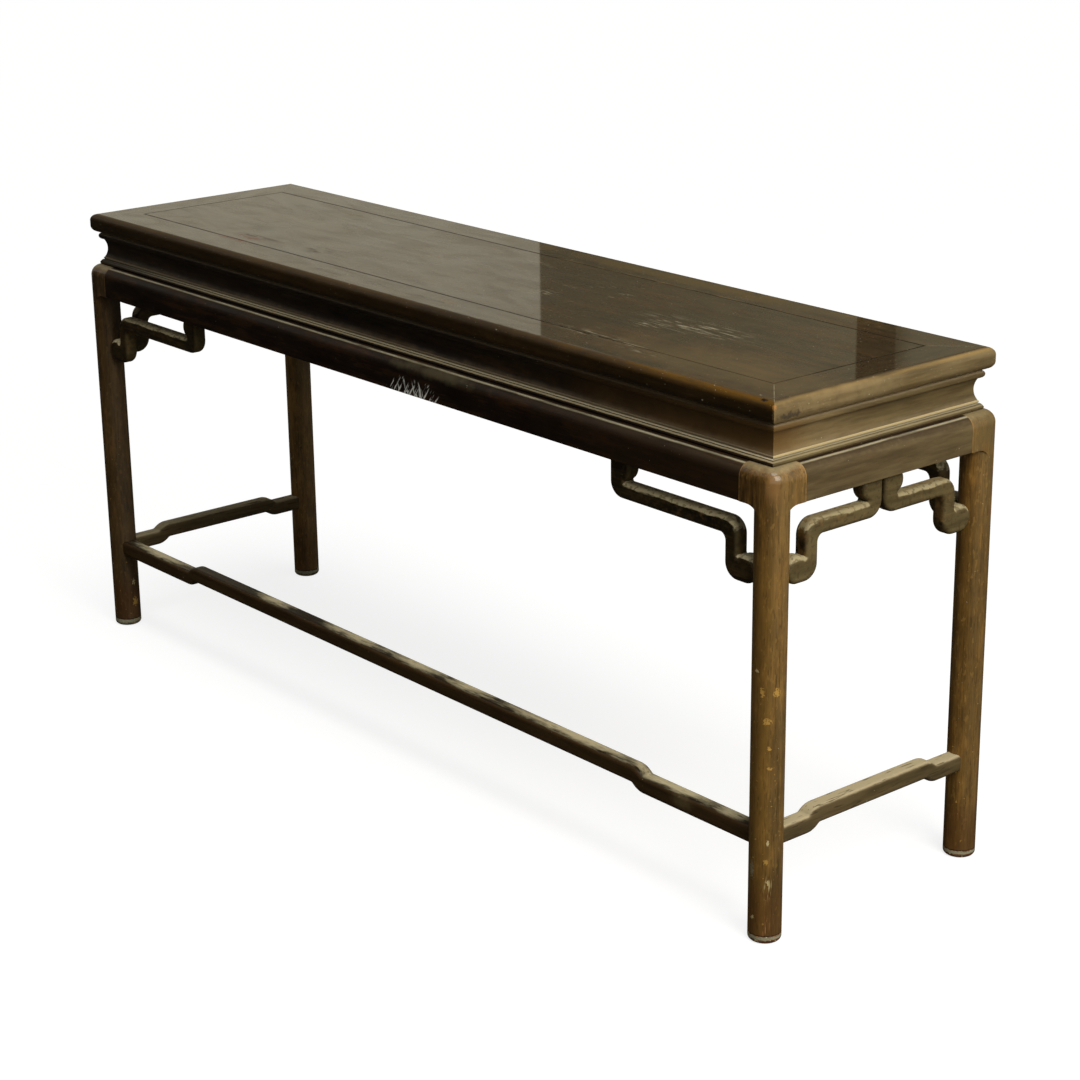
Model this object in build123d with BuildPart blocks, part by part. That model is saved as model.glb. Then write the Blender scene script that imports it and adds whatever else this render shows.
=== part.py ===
from build123d import *

import os
from math import copysign

# A long Chinese altar table: a mitred frame-and-panel top on a hollow waist, four round
# corner legs whose heads carry the aprons, scroll brackets and humpback stretchers.
# Millimetres. X runs along the table, -Y is the side with the long stretcher, Z is up and
# the origin lies on the floor under the middle of the table.

os.makedirs("parts", exist_ok=True)

# ---- Driving dimensions ----------------------------------------------------------------

# Whole table, measured over the outer faces of the legs
table_height = 813.0
table_length = 1815.0
table_depth = 478.0

# Legs, with the heads that form the ears beside the aprons
leg_diameter = 50.0
head_size = 66.0
head_round = 19.0
ear_cove = 25.0
shaft_overlap = 1.5
post_size = 20.0
post_tenon_width = 8.0
post_tenon_height = 8.0

# Turned feet under the legs
foot_height = 13.0
foot_round = 7.0
foot_arris = 1.0
spigot_diameter = 14.0
spigot_length = 30.0

# Top frame and its panel
top_thickness = 34.0
top_inset = 10.0
top_edge_round = 12.0
rail_width = 73.0
panel_thickness = 12.0
panel_lip = 4.0
panel_seam = 1.0
tongue_thickness = 5.0
tongue_length = 6.0
mitre_tenon_thickness = 8.0
mitre_tenon_width = 24.0
mitre_tenon_shoulder = 14.0
mitre_tenon_cover = 22.0
mitre_tenon_lift = 9.0

# Dovetailed battens under the panel
batten_count = 4
batten_width = 40.0
batten_depth = 18.0
batten_key_height = 4.0
batten_key_root = 26.0
batten_key_tip = 32.0
batten_tenon_thickness = 8.0
batten_tenon_width = 28.0
batten_tenon_length = 15.0

# Hollow waist under the top
waist_height = 47.0
waist_inset = 26.8
waist_hollow = 4.6
waist_back_inset = 46.0
lip_inset = 20.0
lip_depth = 6.0
lip_height = 12.5
lip_quirk = 1.0
lip_quirk_inset = 30.0
waist_tongue_inset = 34.0
waist_tongue_width = 6.0
waist_tongue_height = 5.0

# Stepped bead between the waist and the aprons
bead_height = 14.0
bead_tip_inset = 19.7
bead_tip_lift = 3.0
bead_undercut = 1.8
bead_shoulder_inset = 24.6
bead_shoulder_lift = 9.6
bead_bulge = 0.6
bead_groove_width = 1.4
bead_groove_depth = 1.6
bead_ridge_inset = 25.2
bead_ridge_width = 1.8

# Aprons
apron_height = 54.0
apron_thickness = 38.0
apron_arris = 1.5
apron_tenon_thickness = 12.0
apron_tenon_inset = 13.0
apron_tenon_height = 34.0
apron_tenon_length = 18.0

# Humpback stretchers
stretcher_size = 27.5
stretcher_round = 6.0
stretcher_level = 160.5
hump_rise = 10.5
hump_run = 14.0
hump_bend = 22.0
long_hump_setback = 239.0
short_hump_setback = 62.0
stretcher_tenon_width = 8.0
stretcher_tenon_height = 16.0
stretcher_tenon_length = 20.0

# Scroll brackets
bracket_bar = 26.0
bracket_thickness = 26.0
bracket_round = 8.0
bracket_bend = 25.0
bracket_inner_bend = 10.0
bracket_notch = 1.5
bracket_drop = 125.0
bracket_bar_drop = 61.0
bracket_leg_gap = 31.5
curl_radius = 21.0
curl_inset = 17.4
long_bracket_reach = 299.0
bracket_pair_gap = 3.0
peg_diameter = 6.0
peg_reach = 13.0

# Clearances between pieces that fit together
fit_gap = 0.1
cope_gap = 0.15
end_gap = 0.5

# ---- Levels and places worked out from them --------------------------------------------

half_length = table_length / 2
half_depth = table_depth / 2
leg_radius = leg_diameter / 2
leg_x = half_length - leg_radius
leg_y = half_depth - leg_radius

frame_bottom = table_height - top_thickness
waist_bottom = frame_bottom - waist_height
apron_top = waist_bottom - bead_height
apron_bottom = apron_top - apron_height
head_bottom = apron_bottom - ear_cove
rail_inset = top_inset + rail_width
panel_bottom = table_height - panel_thickness
tongue_top = table_height - panel_lip
tongue_bottom = tongue_top - tongue_thickness
post_inset = head_size - post_size
mitre_tenon_inset = rail_inset - mitre_tenon_shoulder
mitre_tenon_bottom = frame_bottom + mitre_tenon_lift
apron_tenon_bottom = apron_bottom + (apron_height - apron_tenon_height) / 2
batten_bottom = panel_bottom - batten_depth
batten_tenon_bottom = panel_bottom - (batten_depth + batten_tenon_thickness) / 2
batten_spacing = 2 * (half_length - rail_inset) / batten_count
batten_places = [batten_spacing * (i - (batten_count - 1) / 2) for i in range(batten_count)]
curl_level = apron_bottom - bracket_drop + curl_radius
short_bracket_reach = leg_y - leg_radius - bracket_pair_gap / 2

UP = Vector(0, 0, 1)
CORNERS = {
    "front_right": (1, -1),
    "front_left": (-1, -1),
    "back_right": (1, 1),
    "back_left": (-1, 1),
}


def at(corner, inset_x, inset_y, z):
    """A point set in from the outer faces of the legs at one corner of the table."""
    side_x, side_y = corner
    return (side_x * (half_length - inset_x), side_y * (half_depth - inset_y), z)


def block(low, high, mode=Mode.ADD):
    """A box between two opposite corners, added to or cut from the part in hand."""
    size = [abs(b - a) for a, b in zip(low, high)]
    middle = [(a + b) / 2 for a, b in zip(low, high)]
    with Locations(tuple(middle)):
        Box(*size, mode=mode)


def save(piece, name):
    """Label a finished piece and write its file."""
    piece.part.label = name
    export_step(piece.part, f"parts/{name}.step")


class Run:
    """One side of the rectangle that the frame, waist, bead and aprons run round."""

    def __init__(self, outward, face, half_run):
        self.outward = Vector(*outward)
        self.along = self.outward.cross(UP)
        self.face = face
        self.half_run = half_run
        self.corners = [c for c in CORNERS.values() if self.outward.dot(Vector(*c)) > 0]

    def section(self):
        """Upright plane across the run: x is the inset from the apron face, y the height."""
        inward = -self.outward
        return Plane(origin=self.outward * self.face, x_dir=inward, z_dir=inward.cross(UP))

    def cut_mitres(self):
        """Cut both ends of the part in hand at 45 degrees."""
        for end in (1, -1):
            corner = self.outward * self.face + self.along * (end * self.half_run)
            split(bisect_by=Plane(origin=corner, z_dir=self.outward - self.along * end))


RUNS = {
    "front": Run((0, -1, 0), half_depth, half_length),
    "back": Run((0, 1, 0), half_depth, half_length),
    "left": Run((-1, 0, 0), half_length, half_depth),
    "right": Run((1, 0, 0), half_length, half_depth),
}
LONG_RUNS = ("front", "back")

# ---- Top frame: four mitred members, grooved for the panel and the waist ----------------


def mitre_tenon(corner, gap, deeper, mode):
    """The tenon of a long member in the mitre at one corner, or the mortise for it."""
    inner_y = mitre_tenon_inset
    outer_y = mitre_tenon_inset - mitre_tenon_width
    block(
        at(corner, rail_inset, inner_y + gap, mitre_tenon_bottom - gap),
        at(
            corner,
            mitre_tenon_cover - deeper,
            outer_y - gap,
            mitre_tenon_bottom + mitre_tenon_thickness + gap,
        ),
        mode,
    )


def post_tenon(corner, into_long_member, gap, deeper, mode):
    """One of the two stub tenons on a leg post, either side of the mitre, or its mortise."""
    near = (post_inset - gap, post_inset + post_tenon_width + gap)
    far = (head_size - post_tenon_width - gap, head_size + gap)
    x_span, y_span = (far, near) if into_long_member else (near, far)
    block(
        at(corner, x_span[0], y_span[0], frame_bottom - deeper),
        at(corner, x_span[1], y_span[1], frame_bottom + post_tenon_height + deeper),
        mode,
    )


def frame_section(run):
    """Section of a frame member: rounded outer edge, panel groove and waist groove."""
    with BuildSketch(run.section()) as section:
        with Locations((top_inset, frame_bottom)):
            Rectangle(rail_width, top_thickness, align=(Align.MIN, Align.MIN))
        fillet(section.vertices().sort_by(Axis.X)[:2], radius=top_edge_round)
        with Locations((rail_inset, tongue_bottom - fit_gap)):
            Rectangle(
                tongue_length + panel_seam,
                tongue_thickness + 2 * fit_gap,
                align=(Align.MAX, Align.MIN),
                mode=Mode.SUBTRACT,
            )
        with Locations((waist_tongue_inset - fit_gap, frame_bottom)):
            Rectangle(
                waist_tongue_width + 2 * fit_gap,
                waist_tongue_height + fit_gap,
                align=(Align.MIN, Align.MIN),
                mode=Mode.SUBTRACT,
            )
    return section.sketch


for name, run in RUNS.items():
    is_long = name in LONG_RUNS
    with BuildPart() as member:
        extrude(frame_section(run), amount=run.half_run, both=True)
        run.cut_mitres()
        for corner in run.corners:
            post_tenon(corner, is_long, fit_gap, fit_gap, Mode.SUBTRACT)
            if is_long:
                mitre_tenon(corner, 0, 0, Mode.ADD)
            else:
                mitre_tenon(corner, fit_gap, end_gap, Mode.SUBTRACT)
        if is_long:
            inner_face = half_depth - rail_inset
            side = copysign(1, run.outward.Y)
            for place in batten_places:
                half_width = batten_tenon_width / 2 + fit_gap
                block(
                    (place - half_width, side * inner_face, batten_tenon_bottom - fit_gap),
                    (
                        place + half_width,
                        side * (inner_face + batten_tenon_length + end_gap),
                        batten_tenon_bottom + batten_tenon_thickness + fit_gap,
                    ),
                    Mode.SUBTRACT,
                )
    save(member, f"top_frame_{name}")

# ---- Panel: floats in the frame's grooves, flush with it --------------------------------


def key_section(place, gap):
    """Dovetail section of a batten's key, with its root on the underside of the panel."""
    root = batten_key_root / 2 + gap
    tip = batten_key_tip / 2 + gap
    with BuildSketch(Plane.XZ) as section:
        with BuildLine():
            Polyline(
                (place - root, panel_bottom),
                (place - tip, panel_bottom + batten_key_height + gap),
                (place + tip, panel_bottom + batten_key_height + gap),
                (place + root, panel_bottom),
                close=True,
            )
        make_face()
    return section.sketch


opening_x = half_length - rail_inset
opening_y = half_depth - rail_inset
panel_x = opening_x - panel_seam
panel_y = opening_y - panel_seam
tongue_x = opening_x + tongue_length
tongue_y = opening_y + tongue_length

with BuildPart() as panel:
    block((-panel_x, -panel_y, panel_bottom), (panel_x, panel_y, table_height))
    block((-tongue_x, -tongue_y, tongue_bottom), (tongue_x, tongue_y, tongue_top))
    for place in batten_places:
        slot = key_section(place, fit_gap)
        extrude(slot, amount=tongue_y + end_gap, both=True, mode=Mode.SUBTRACT)
save(panel, "top_panel")

for number, place in enumerate(batten_places, start=1):
    with BuildPart() as batten:
        half_width = batten_width / 2
        block(
            (place - half_width, -opening_y, batten_bottom),
            (place + half_width, opening_y, panel_bottom),
        )
        extrude(key_section(place, 0), amount=panel_y, both=True)
        half_tenon = batten_tenon_width / 2
        tenon_end = opening_y + batten_tenon_length
        block(
            (place - half_tenon, -tenon_end, batten_tenon_bottom),
            (place + half_tenon, tenon_end, batten_tenon_bottom + batten_tenon_thickness),
        )
    save(batten, f"panel_batten_{number}")

# ---- Waist: hollowed boards with a lip, tongued into the frame --------------------------


def waist_section(run):
    """Section of a waist board: cove, rolled lip, quirk under the top, and tongue."""
    lip_top = frame_bottom - lip_quirk
    lip_bottom = lip_top - lip_height
    cove_top_inset = lip_inset + lip_depth + lip_quirk
    tongue_back = waist_tongue_inset + waist_tongue_width
    tongue_level = frame_bottom + waist_tongue_height
    with BuildSketch(run.section()) as section:
        with BuildLine():
            Line((waist_back_inset, waist_bottom), (waist_inset, waist_bottom))
            ThreePointArc(
                (waist_inset, waist_bottom),
                (waist_inset + waist_hollow, (waist_bottom + lip_bottom) / 2),
                (cove_top_inset, lip_bottom),
            )
            ThreePointArc(
                (cove_top_inset, lip_bottom),
                (lip_inset, lip_top - lip_height / 2),
                (lip_inset + lip_depth, lip_top),
            )
            Polyline(
                (lip_inset + lip_depth, lip_top),
                (lip_quirk_inset, lip_top),
                (lip_quirk_inset, frame_bottom),
                (waist_tongue_inset, frame_bottom),
                (waist_tongue_inset, tongue_level),
                (tongue_back, tongue_level),
                (tongue_back, frame_bottom),
                (waist_back_inset, frame_bottom),
                (waist_back_inset, waist_bottom),
            )
        make_face()
    return section.sketch


for name, run in RUNS.items():
    with BuildPart() as board:
        extrude(waist_section(run), amount=run.half_run, both=True)
        run.cut_mitres()
    save(board, f"waist_{name}")

# ---- Bead: stepped moulding between the waist and the aprons ----------------------------


def bead_section(run):
    """Section of the bead: undercut foot, ovolo, narrow groove and ridge."""
    tip = (bead_tip_inset, apron_top + bead_tip_lift)
    shoulder_level = apron_top + bead_shoulder_lift
    shoulder = (bead_shoulder_inset, shoulder_level)
    groove_inset = bead_shoulder_inset + bead_groove_depth
    ridge_level = shoulder_level + bead_groove_width
    bulge = ((tip[0] + shoulder[0]) / 2 - bead_bulge, (tip[1] + shoulder[1]) / 2 + bead_bulge)
    with BuildSketch(run.section()) as section:
        with BuildLine():
            Line((waist_back_inset, apron_top), (bead_tip_inset + bead_undercut, apron_top))
            Line((bead_tip_inset + bead_undercut, apron_top), tip)
            ThreePointArc(tip, bulge, shoulder)
            Polyline(
                shoulder,
                (groove_inset, shoulder_level),
                (groove_inset, ridge_level),
                (bead_ridge_inset, ridge_level),
                (bead_ridge_inset, ridge_level + bead_ridge_width),
                (waist_inset, waist_bottom),
                (waist_back_inset, waist_bottom),
                (waist_back_inset, apron_top),
            )
        make_face()
    return section.sketch


for name, run in RUNS.items():
    with BuildPart() as bead:
        extrude(bead_section(run), amount=run.half_run, both=True)
        run.cut_mitres()
    save(bead, f"bead_{name}")

# ---- Aprons: rounded rails between the leg heads, tenoned into them ---------------------


def along_run(run, distance, inset, z):
    """A point on a run, a distance along it and set in from its outer face."""
    return tuple(run.along * distance + run.outward * (run.face - inset) + UP * z)


for name, run in RUNS.items():
    shoulder = run.half_run - head_size
    tenon_end = shoulder + apron_tenon_length
    tenon_back = apron_tenon_inset + apron_tenon_thickness
    peg_distance = run.half_run - leg_diameter + bracket_bar / 2
    peg_distance -= long_bracket_reach if name in LONG_RUNS else short_bracket_reach
    with BuildPart() as apron:
        with BuildSketch(run.section()) as section:
            with Locations((0, apron_bottom)):
                Rectangle(apron_thickness, apron_height, align=(Align.MIN, Align.MIN))
            lower, upper = section.vertices().sort_by(Axis.X)[:2].sort_by(Axis.Y)
            fillet(upper, radius=head_round)
            fillet(section.vertices().sort_by_distance(lower)[0], radius=apron_arris)
        extrude(amount=shoulder, both=True)
        block(
            along_run(run, -tenon_end, apron_tenon_inset, apron_tenon_bottom),
            along_run(run, tenon_end, tenon_back, apron_tenon_bottom + apron_tenon_height),
        )
        for end in (1, -1):
            with Locations(along_run(run, end * peg_distance, leg_radius, apron_bottom)):
                Cylinder(
                    peg_diameter / 2 + fit_gap,
                    peg_reach + end_gap,
                    align=(Align.CENTER, Align.CENTER, Align.MIN),
                    mode=Mode.SUBTRACT,
                )
    save(apron, f"apron_{name}")

# ---- Legs: round shaft, square head with rounded ears, post behind the waist ------------


def stretcher_mortise(corner, towards_x):
    """Mortise in a leg for the tenon of a stretcher that comes from the side or the end."""
    half_width = stretcher_tenon_width / 2 + fit_gap
    near = leg_diameter - stretcher_tenon_length - end_gap
    low = stretcher_level - stretcher_tenon_height / 2 - fit_gap
    high = stretcher_level + stretcher_tenon_height / 2 + fit_gap
    run_span = (near, leg_diameter)
    width_span = (leg_radius - half_width, leg_radius + half_width)
    x_span, y_span = (run_span, width_span) if towards_x else (width_span, run_span)
    block(
        at(corner, x_span[0], y_span[0], low),
        at(corner, x_span[1], y_span[1], high),
        Mode.SUBTRACT,
    )


def leg_head(corner):
    """The square head of a leg, rounded outside, with coves that run down to the shaft."""
    with BuildPart() as head:
        block(at(corner, 0, 0, head_bottom), at(corner, head_size, head_size, apron_top))
        outer_edge = head.edges().sort_by_distance(at(corner, 0, 0, apron_bottom))[0]
        fillet(outer_edge, radius=leg_radius)
        top_edges = head.edges().group_by(Axis.Z)[-1]
        fillet(top_edges.sort_by_distance(at(corner, 0, 0, apron_top))[:3], radius=head_round)

        for rotation, cove, beyond in (
            ((90, 0, 0), (leg_diameter, leg_radius), (head_size, 0)),
            ((0, 90, 0), (leg_radius, leg_diameter), (0, head_size)),
        ):
            with Locations(at(corner, *cove, head_bottom)):
                Cylinder(ear_cove, 2 * head_size, rotation=rotation, mode=Mode.SUBTRACT)
            start = (leg_diameter, 0) if beyond[0] else (0, leg_diameter)
            block(
                at(corner, *start, head_bottom),
                at(corner, head_size, head_size, apron_bottom),
                Mode.SUBTRACT,
            )

    return head.part


def corner_leg(corner, has_long_stretcher):
    """A leg with its head, post, mortises and peg holes, at one corner of the table."""
    with BuildPart() as leg:
        shaft_top = apron_bottom + shaft_overlap
        with Locations(at(corner, leg_radius, leg_radius, foot_height)):
            Cylinder(
                leg_radius,
                shaft_top - foot_height,
                align=(Align.CENTER, Align.CENTER, Align.MIN),
            )
        chamfer(leg.edges().group_by(Axis.Z)[0], length=foot_arris)
        add(leg_head(corner))
        block(
            at(corner, post_inset, post_inset, apron_top),
            at(corner, head_size, head_size, frame_bottom),
        )
        for into_long_member in (True, False):
            post_tenon(corner, into_long_member, 0, 0, Mode.ADD)

        # Apron mortises, one in each inner face of the head
        tenon_start = head_size - apron_tenon_length - end_gap
        tenon_back = apron_tenon_inset + apron_tenon_thickness
        low = apron_tenon_bottom - fit_gap
        high = apron_tenon_bottom + apron_tenon_height + fit_gap
        block(
            at(corner, tenon_start, apron_tenon_inset - fit_gap, low),
            at(corner, head_size, tenon_back + fit_gap, high),
            Mode.SUBTRACT,
        )
        block(
            at(corner, apron_tenon_inset - fit_gap, tenon_start, low),
            at(corner, tenon_back + fit_gap, head_size, high),
            Mode.SUBTRACT,
        )

        stretcher_mortise(corner, towards_x=False)
        if has_long_stretcher:
            stretcher_mortise(corner, towards_x=True)

        # Holes for the bracket pegs and the spigot of the foot
        hole_start = leg_diameter - peg_reach - end_gap
        for rotation, spot in (
            ((0, 90, 0), ((hole_start + leg_diameter) / 2, leg_radius)),
            ((90, 0, 0), (leg_radius, (hole_start + leg_diameter) / 2)),
        ):
            with Locations(at(corner, *spot, curl_level)):
                Cylinder(
                    peg_diameter / 2 + fit_gap,
                    peg_reach + end_gap,
                    rotation=rotation,
                    mode=Mode.SUBTRACT,
                )
        with Locations(at(corner, leg_radius, leg_radius, foot_height)):
            Cylinder(
                spigot_diameter / 2 + fit_gap,
                spigot_length + end_gap,
                align=(Align.CENTER, Align.CENTER, Align.MIN),
                mode=Mode.SUBTRACT,
            )
    return leg


for name, corner in CORNERS.items():
    save(corner_leg(corner, has_long_stretcher=corner[1] < 0), f"leg_{name}")

# ---- Feet: turned pads with a spigot ----------------------------------------------------

for name, corner in CORNERS.items():
    with BuildPart() as foot:
        with Locations(at(corner, leg_radius, leg_radius, 0)):
            Cylinder(
                leg_radius, foot_height, align=(Align.CENTER, Align.CENTER, Align.MIN)
            )
        chamfer(foot.edges().group_by(Axis.Z)[-1], length=foot_arris)
        fillet(foot.edges().group_by(Axis.Z)[0], radius=foot_round)
        with Locations(at(corner, leg_radius, leg_radius, foot_height)):
            Cylinder(
                spigot_diameter / 2,
                spigot_length,
                align=(Align.CENTER, Align.CENTER, Align.MIN),
            )
    save(foot, f"foot_{name}")

# ---- Stretchers: rounded square bars that step up to a raised middle --------------------


def stretcher(name, plane, half_span, hump_setback):
    """A humpback stretcher between two legs, in a plane whose x runs along it."""
    hump_outer = half_span - leg_radius - hump_setback + hump_run / 2
    hump_inner = hump_outer - hump_run
    raised = stretcher_level + hump_rise
    with BuildPart() as bar:
        with BuildLine(plane) as path:
            FilletPolyline(
                (-half_span, stretcher_level),
                (-hump_outer, stretcher_level),
                (-hump_inner, raised),
                (hump_inner, raised),
                (hump_outer, stretcher_level),
                (half_span, stretcher_level),
                radius=hump_bend,
            )
        with BuildSketch(Plane(origin=path.line @ 0, z_dir=path.line % 0)):
            RectangleRounded(stretcher_size, stretcher_size, stretcher_round)
        sweep(path=path.line)
        for end in (1, -1):
            with Locations(plane.from_local_coords(Vector(end * half_span, stretcher_level, 0))):
                Cylinder(leg_radius + cope_gap, 2 * stretcher_size, mode=Mode.SUBTRACT)
        for end in (1, -1):
            outer = half_span - leg_radius + stretcher_tenon_length
            inner = half_span - leg_radius - stretcher_tenon_width
            spans = (end * (outer + inner) / 2, stretcher_level, 0)
            turn = plane.location.orientation
            with Locations(Location(plane.from_local_coords(Vector(*spans)), turn)):
                Box(outer - inner, stretcher_tenon_height, stretcher_tenon_width)
    save(bar, name)


front_stretcher_plane = Plane(origin=(0, -leg_y, 0), x_dir=(1, 0, 0), z_dir=(0, -1, 0))
stretcher("stretcher_front", front_stretcher_plane, leg_x, long_hump_setback)
for name, side in (("left", -1), ("right", 1)):
    end_plane = Plane(origin=(side * leg_x, 0, 0), x_dir=(0, 1, 0), z_dir=(1, 0, 0))
    stretcher(f"stretcher_{name}", end_plane, leg_y, short_hump_setback)

# ---- Brackets: scrolled bars between leg and apron, pegged to both ----------------------


def nearest(vertices, *spots):
    """The vertices that lie nearest to the given spots."""
    return [vertices.sort_by_distance((*spot, 0))[0] for spot in spots]


def bracket_outline(plane, reach):
    """Sketch a bracket: x is the distance from the leg's axis, y the height."""
    leg_side = leg_radius + bracket_leg_gap
    far_side = leg_radius + reach
    curl_x = leg_radius + curl_inset
    bottom = apron_bottom - bracket_drop
    bar_bottom = apron_bottom - bracket_bar_drop
    bar_top = bar_bottom + bracket_bar
    beyond = apron_bottom + curl_radius
    with BuildSketch(plane) as outline:
        with BuildLine():
            Polyline(
                (curl_x, bottom),
                (leg_side + bracket_bar, bottom),
                (leg_side + bracket_bar, bar_bottom),
                (far_side, bar_bottom),
                (far_side, beyond),
                (far_side - bracket_bar, beyond),
                (far_side - bracket_bar, bar_top),
                (leg_side, bar_top),
                (leg_side, bottom + bracket_bar),
                (curl_x, bottom + bracket_bar),
                close=True,
            )
        make_face()
        outer_bends = nearest(
            outline.vertices(),
            (leg_side + bracket_bar, bottom),
            (far_side, bar_bottom),
            (leg_side, bar_top),
        )
        fillet(outer_bends, radius=bracket_bend)
        inner_bend = nearest(outline.vertices(), (leg_side + bracket_bar, bar_bottom))
        fillet(inner_bend, radius=bracket_inner_bend)
        with Locations((curl_x, curl_level), (far_side - curl_radius, bar_top + curl_radius)):
            Circle(curl_radius)
        offset(amount=bracket_notch, kind=Kind.INTERSECTION)
        offset(amount=-bracket_notch)
    return outline.sketch


def bracket(name, corner, away, reach):
    """A bracket beside a leg, reaching away from it along X or Y."""
    foot = Vector(*at(corner, leg_radius, leg_radius, 0))
    plane = Plane(origin=foot, x_dir=away, z_dir=away.cross(UP))
    peg_x = leg_radius + reach - bracket_bar / 2
    with BuildPart() as piece:
        extrude(bracket_outline(plane, reach), amount=bracket_thickness / 2, both=True)
        rims = [
            edge
            for edge in piece.edges()
            if abs(abs(plane.to_local_coords(edge.center()).Z) - bracket_thickness / 2) < 0.01
        ]
        fillet(rims, radius=bracket_round)
        top = foot + away * (leg_radius + reach / 2) + UP * (apron_bottom + curl_radius)
        with Locations(Location(top)):
            Box(2 * reach, 2 * reach, 2 * curl_radius, mode=Mode.SUBTRACT)
        with Locations(Location(foot + UP * curl_level)):
            Cylinder(leg_radius + cope_gap, 4 * curl_radius, mode=Mode.SUBTRACT)
        with Locations(Location(foot + away * peg_x + UP * apron_bottom)):
            Cylinder(
                peg_diameter / 2 + fit_gap,
                peg_reach + end_gap,
                align=(Align.CENTER, Align.CENTER, Align.MAX),
                mode=Mode.SUBTRACT,
            )
        peg_plane = Plane(origin=foot + away * leg_radius + UP * curl_level, z_dir=away)
        with BuildSketch(peg_plane):
            Circle(peg_diameter / 2 + fit_gap)
        extrude(amount=peg_reach + end_gap, mode=Mode.SUBTRACT)
    save(piece, name)


for name, corner in CORNERS.items():
    bracket(f"bracket_long_{name}", corner, Vector(-corner[0], 0, 0), long_bracket_reach)
    bracket(f"bracket_short_{name}", corner, Vector(0, -corner[1], 0), short_bracket_reach)

# ---- Pegs: two in each bracket, one into the leg and one into the apron -----------------

with BuildPart() as pegs:
    for corner in CORNERS.values():
        foot = Vector(*at(corner, leg_radius, leg_radius, 0))
        for away, reach in (
            (Vector(-corner[0], 0, 0), long_bracket_reach),
            (Vector(0, -corner[1], 0), short_bracket_reach),
        ):
            up_spot = foot + away * (leg_radius + reach - bracket_bar / 2) + UP * apron_bottom
            side_spot = foot + away * leg_radius + UP * curl_level
            for spot, direction in ((up_spot, UP), (side_spot, away)):
                with BuildSketch(Plane(origin=spot, z_dir=direction)):
                    Circle(peg_diameter / 2)
                extrude(amount=peg_reach, both=True)
save(pegs, "bracket_pegs")
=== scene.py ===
"""Looks of a long altar table: old dark lacquer, rubbed edges and settled dust, in a pale studio.

Every wooden piece keeps its own mesh. The classes below give each piece a procedural finish that knows which
way its grain runs, where it has been rubbed, where dust has settled and where light and shade are painted into
its colour. All lengths are in metres.
"""

import logging
import math
from dataclasses import astuple, dataclass
from enum import Enum
from functools import reduce

import bpy
from mathutils import Matrix, Vector


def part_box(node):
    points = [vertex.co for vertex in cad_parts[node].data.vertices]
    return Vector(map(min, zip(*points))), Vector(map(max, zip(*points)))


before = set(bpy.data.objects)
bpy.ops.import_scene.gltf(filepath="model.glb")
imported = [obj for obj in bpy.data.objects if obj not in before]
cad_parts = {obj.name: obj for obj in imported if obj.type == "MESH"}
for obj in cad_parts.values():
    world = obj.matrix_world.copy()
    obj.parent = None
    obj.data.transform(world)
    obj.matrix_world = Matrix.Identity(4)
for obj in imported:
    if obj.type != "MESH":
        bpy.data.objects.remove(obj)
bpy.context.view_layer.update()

log = logging.getLogger("altar_table")

Colour = tuple[float, float, float]
Point = tuple[float, float, float]
Socket = bpy.types.NodeSocket
Feed = Socket | float | tuple[float, ...]
Owner = bpy.types.Material | bpy.types.World

SIDES = ("front", "back", "left", "right")
CORNERS = ("front_right", "front_left", "back_right", "back_left")
RIGHT: Point = (1.0, 0.0, 0.0)
FRONT: Point = (0.0, -1.0, 0.0)


class Axis(Enum):
    """A direction of the table, by its place in a vector."""

    LENGTH = 0
    DEPTH = 1
    HEIGHT = 2


def paint(red: int, green: int, blue: int) -> Colour:
    """Turns a colour as a screen shows it into the linear colour that a shader takes.

    Args:
        red: red, 0 to 255.
        green: green, 0 to 255.
        blue: blue, 0 to 255.

    Returns:
        The linear colour.
    """

    def linear(value: int) -> float:
        """The linear share of one channel."""
        share = value / 255
        return share / 12.92 if share <= 0.04045 else ((share + 0.055) / 1.055) ** 2.4

    return linear(red), linear(green), linear(blue)


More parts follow.
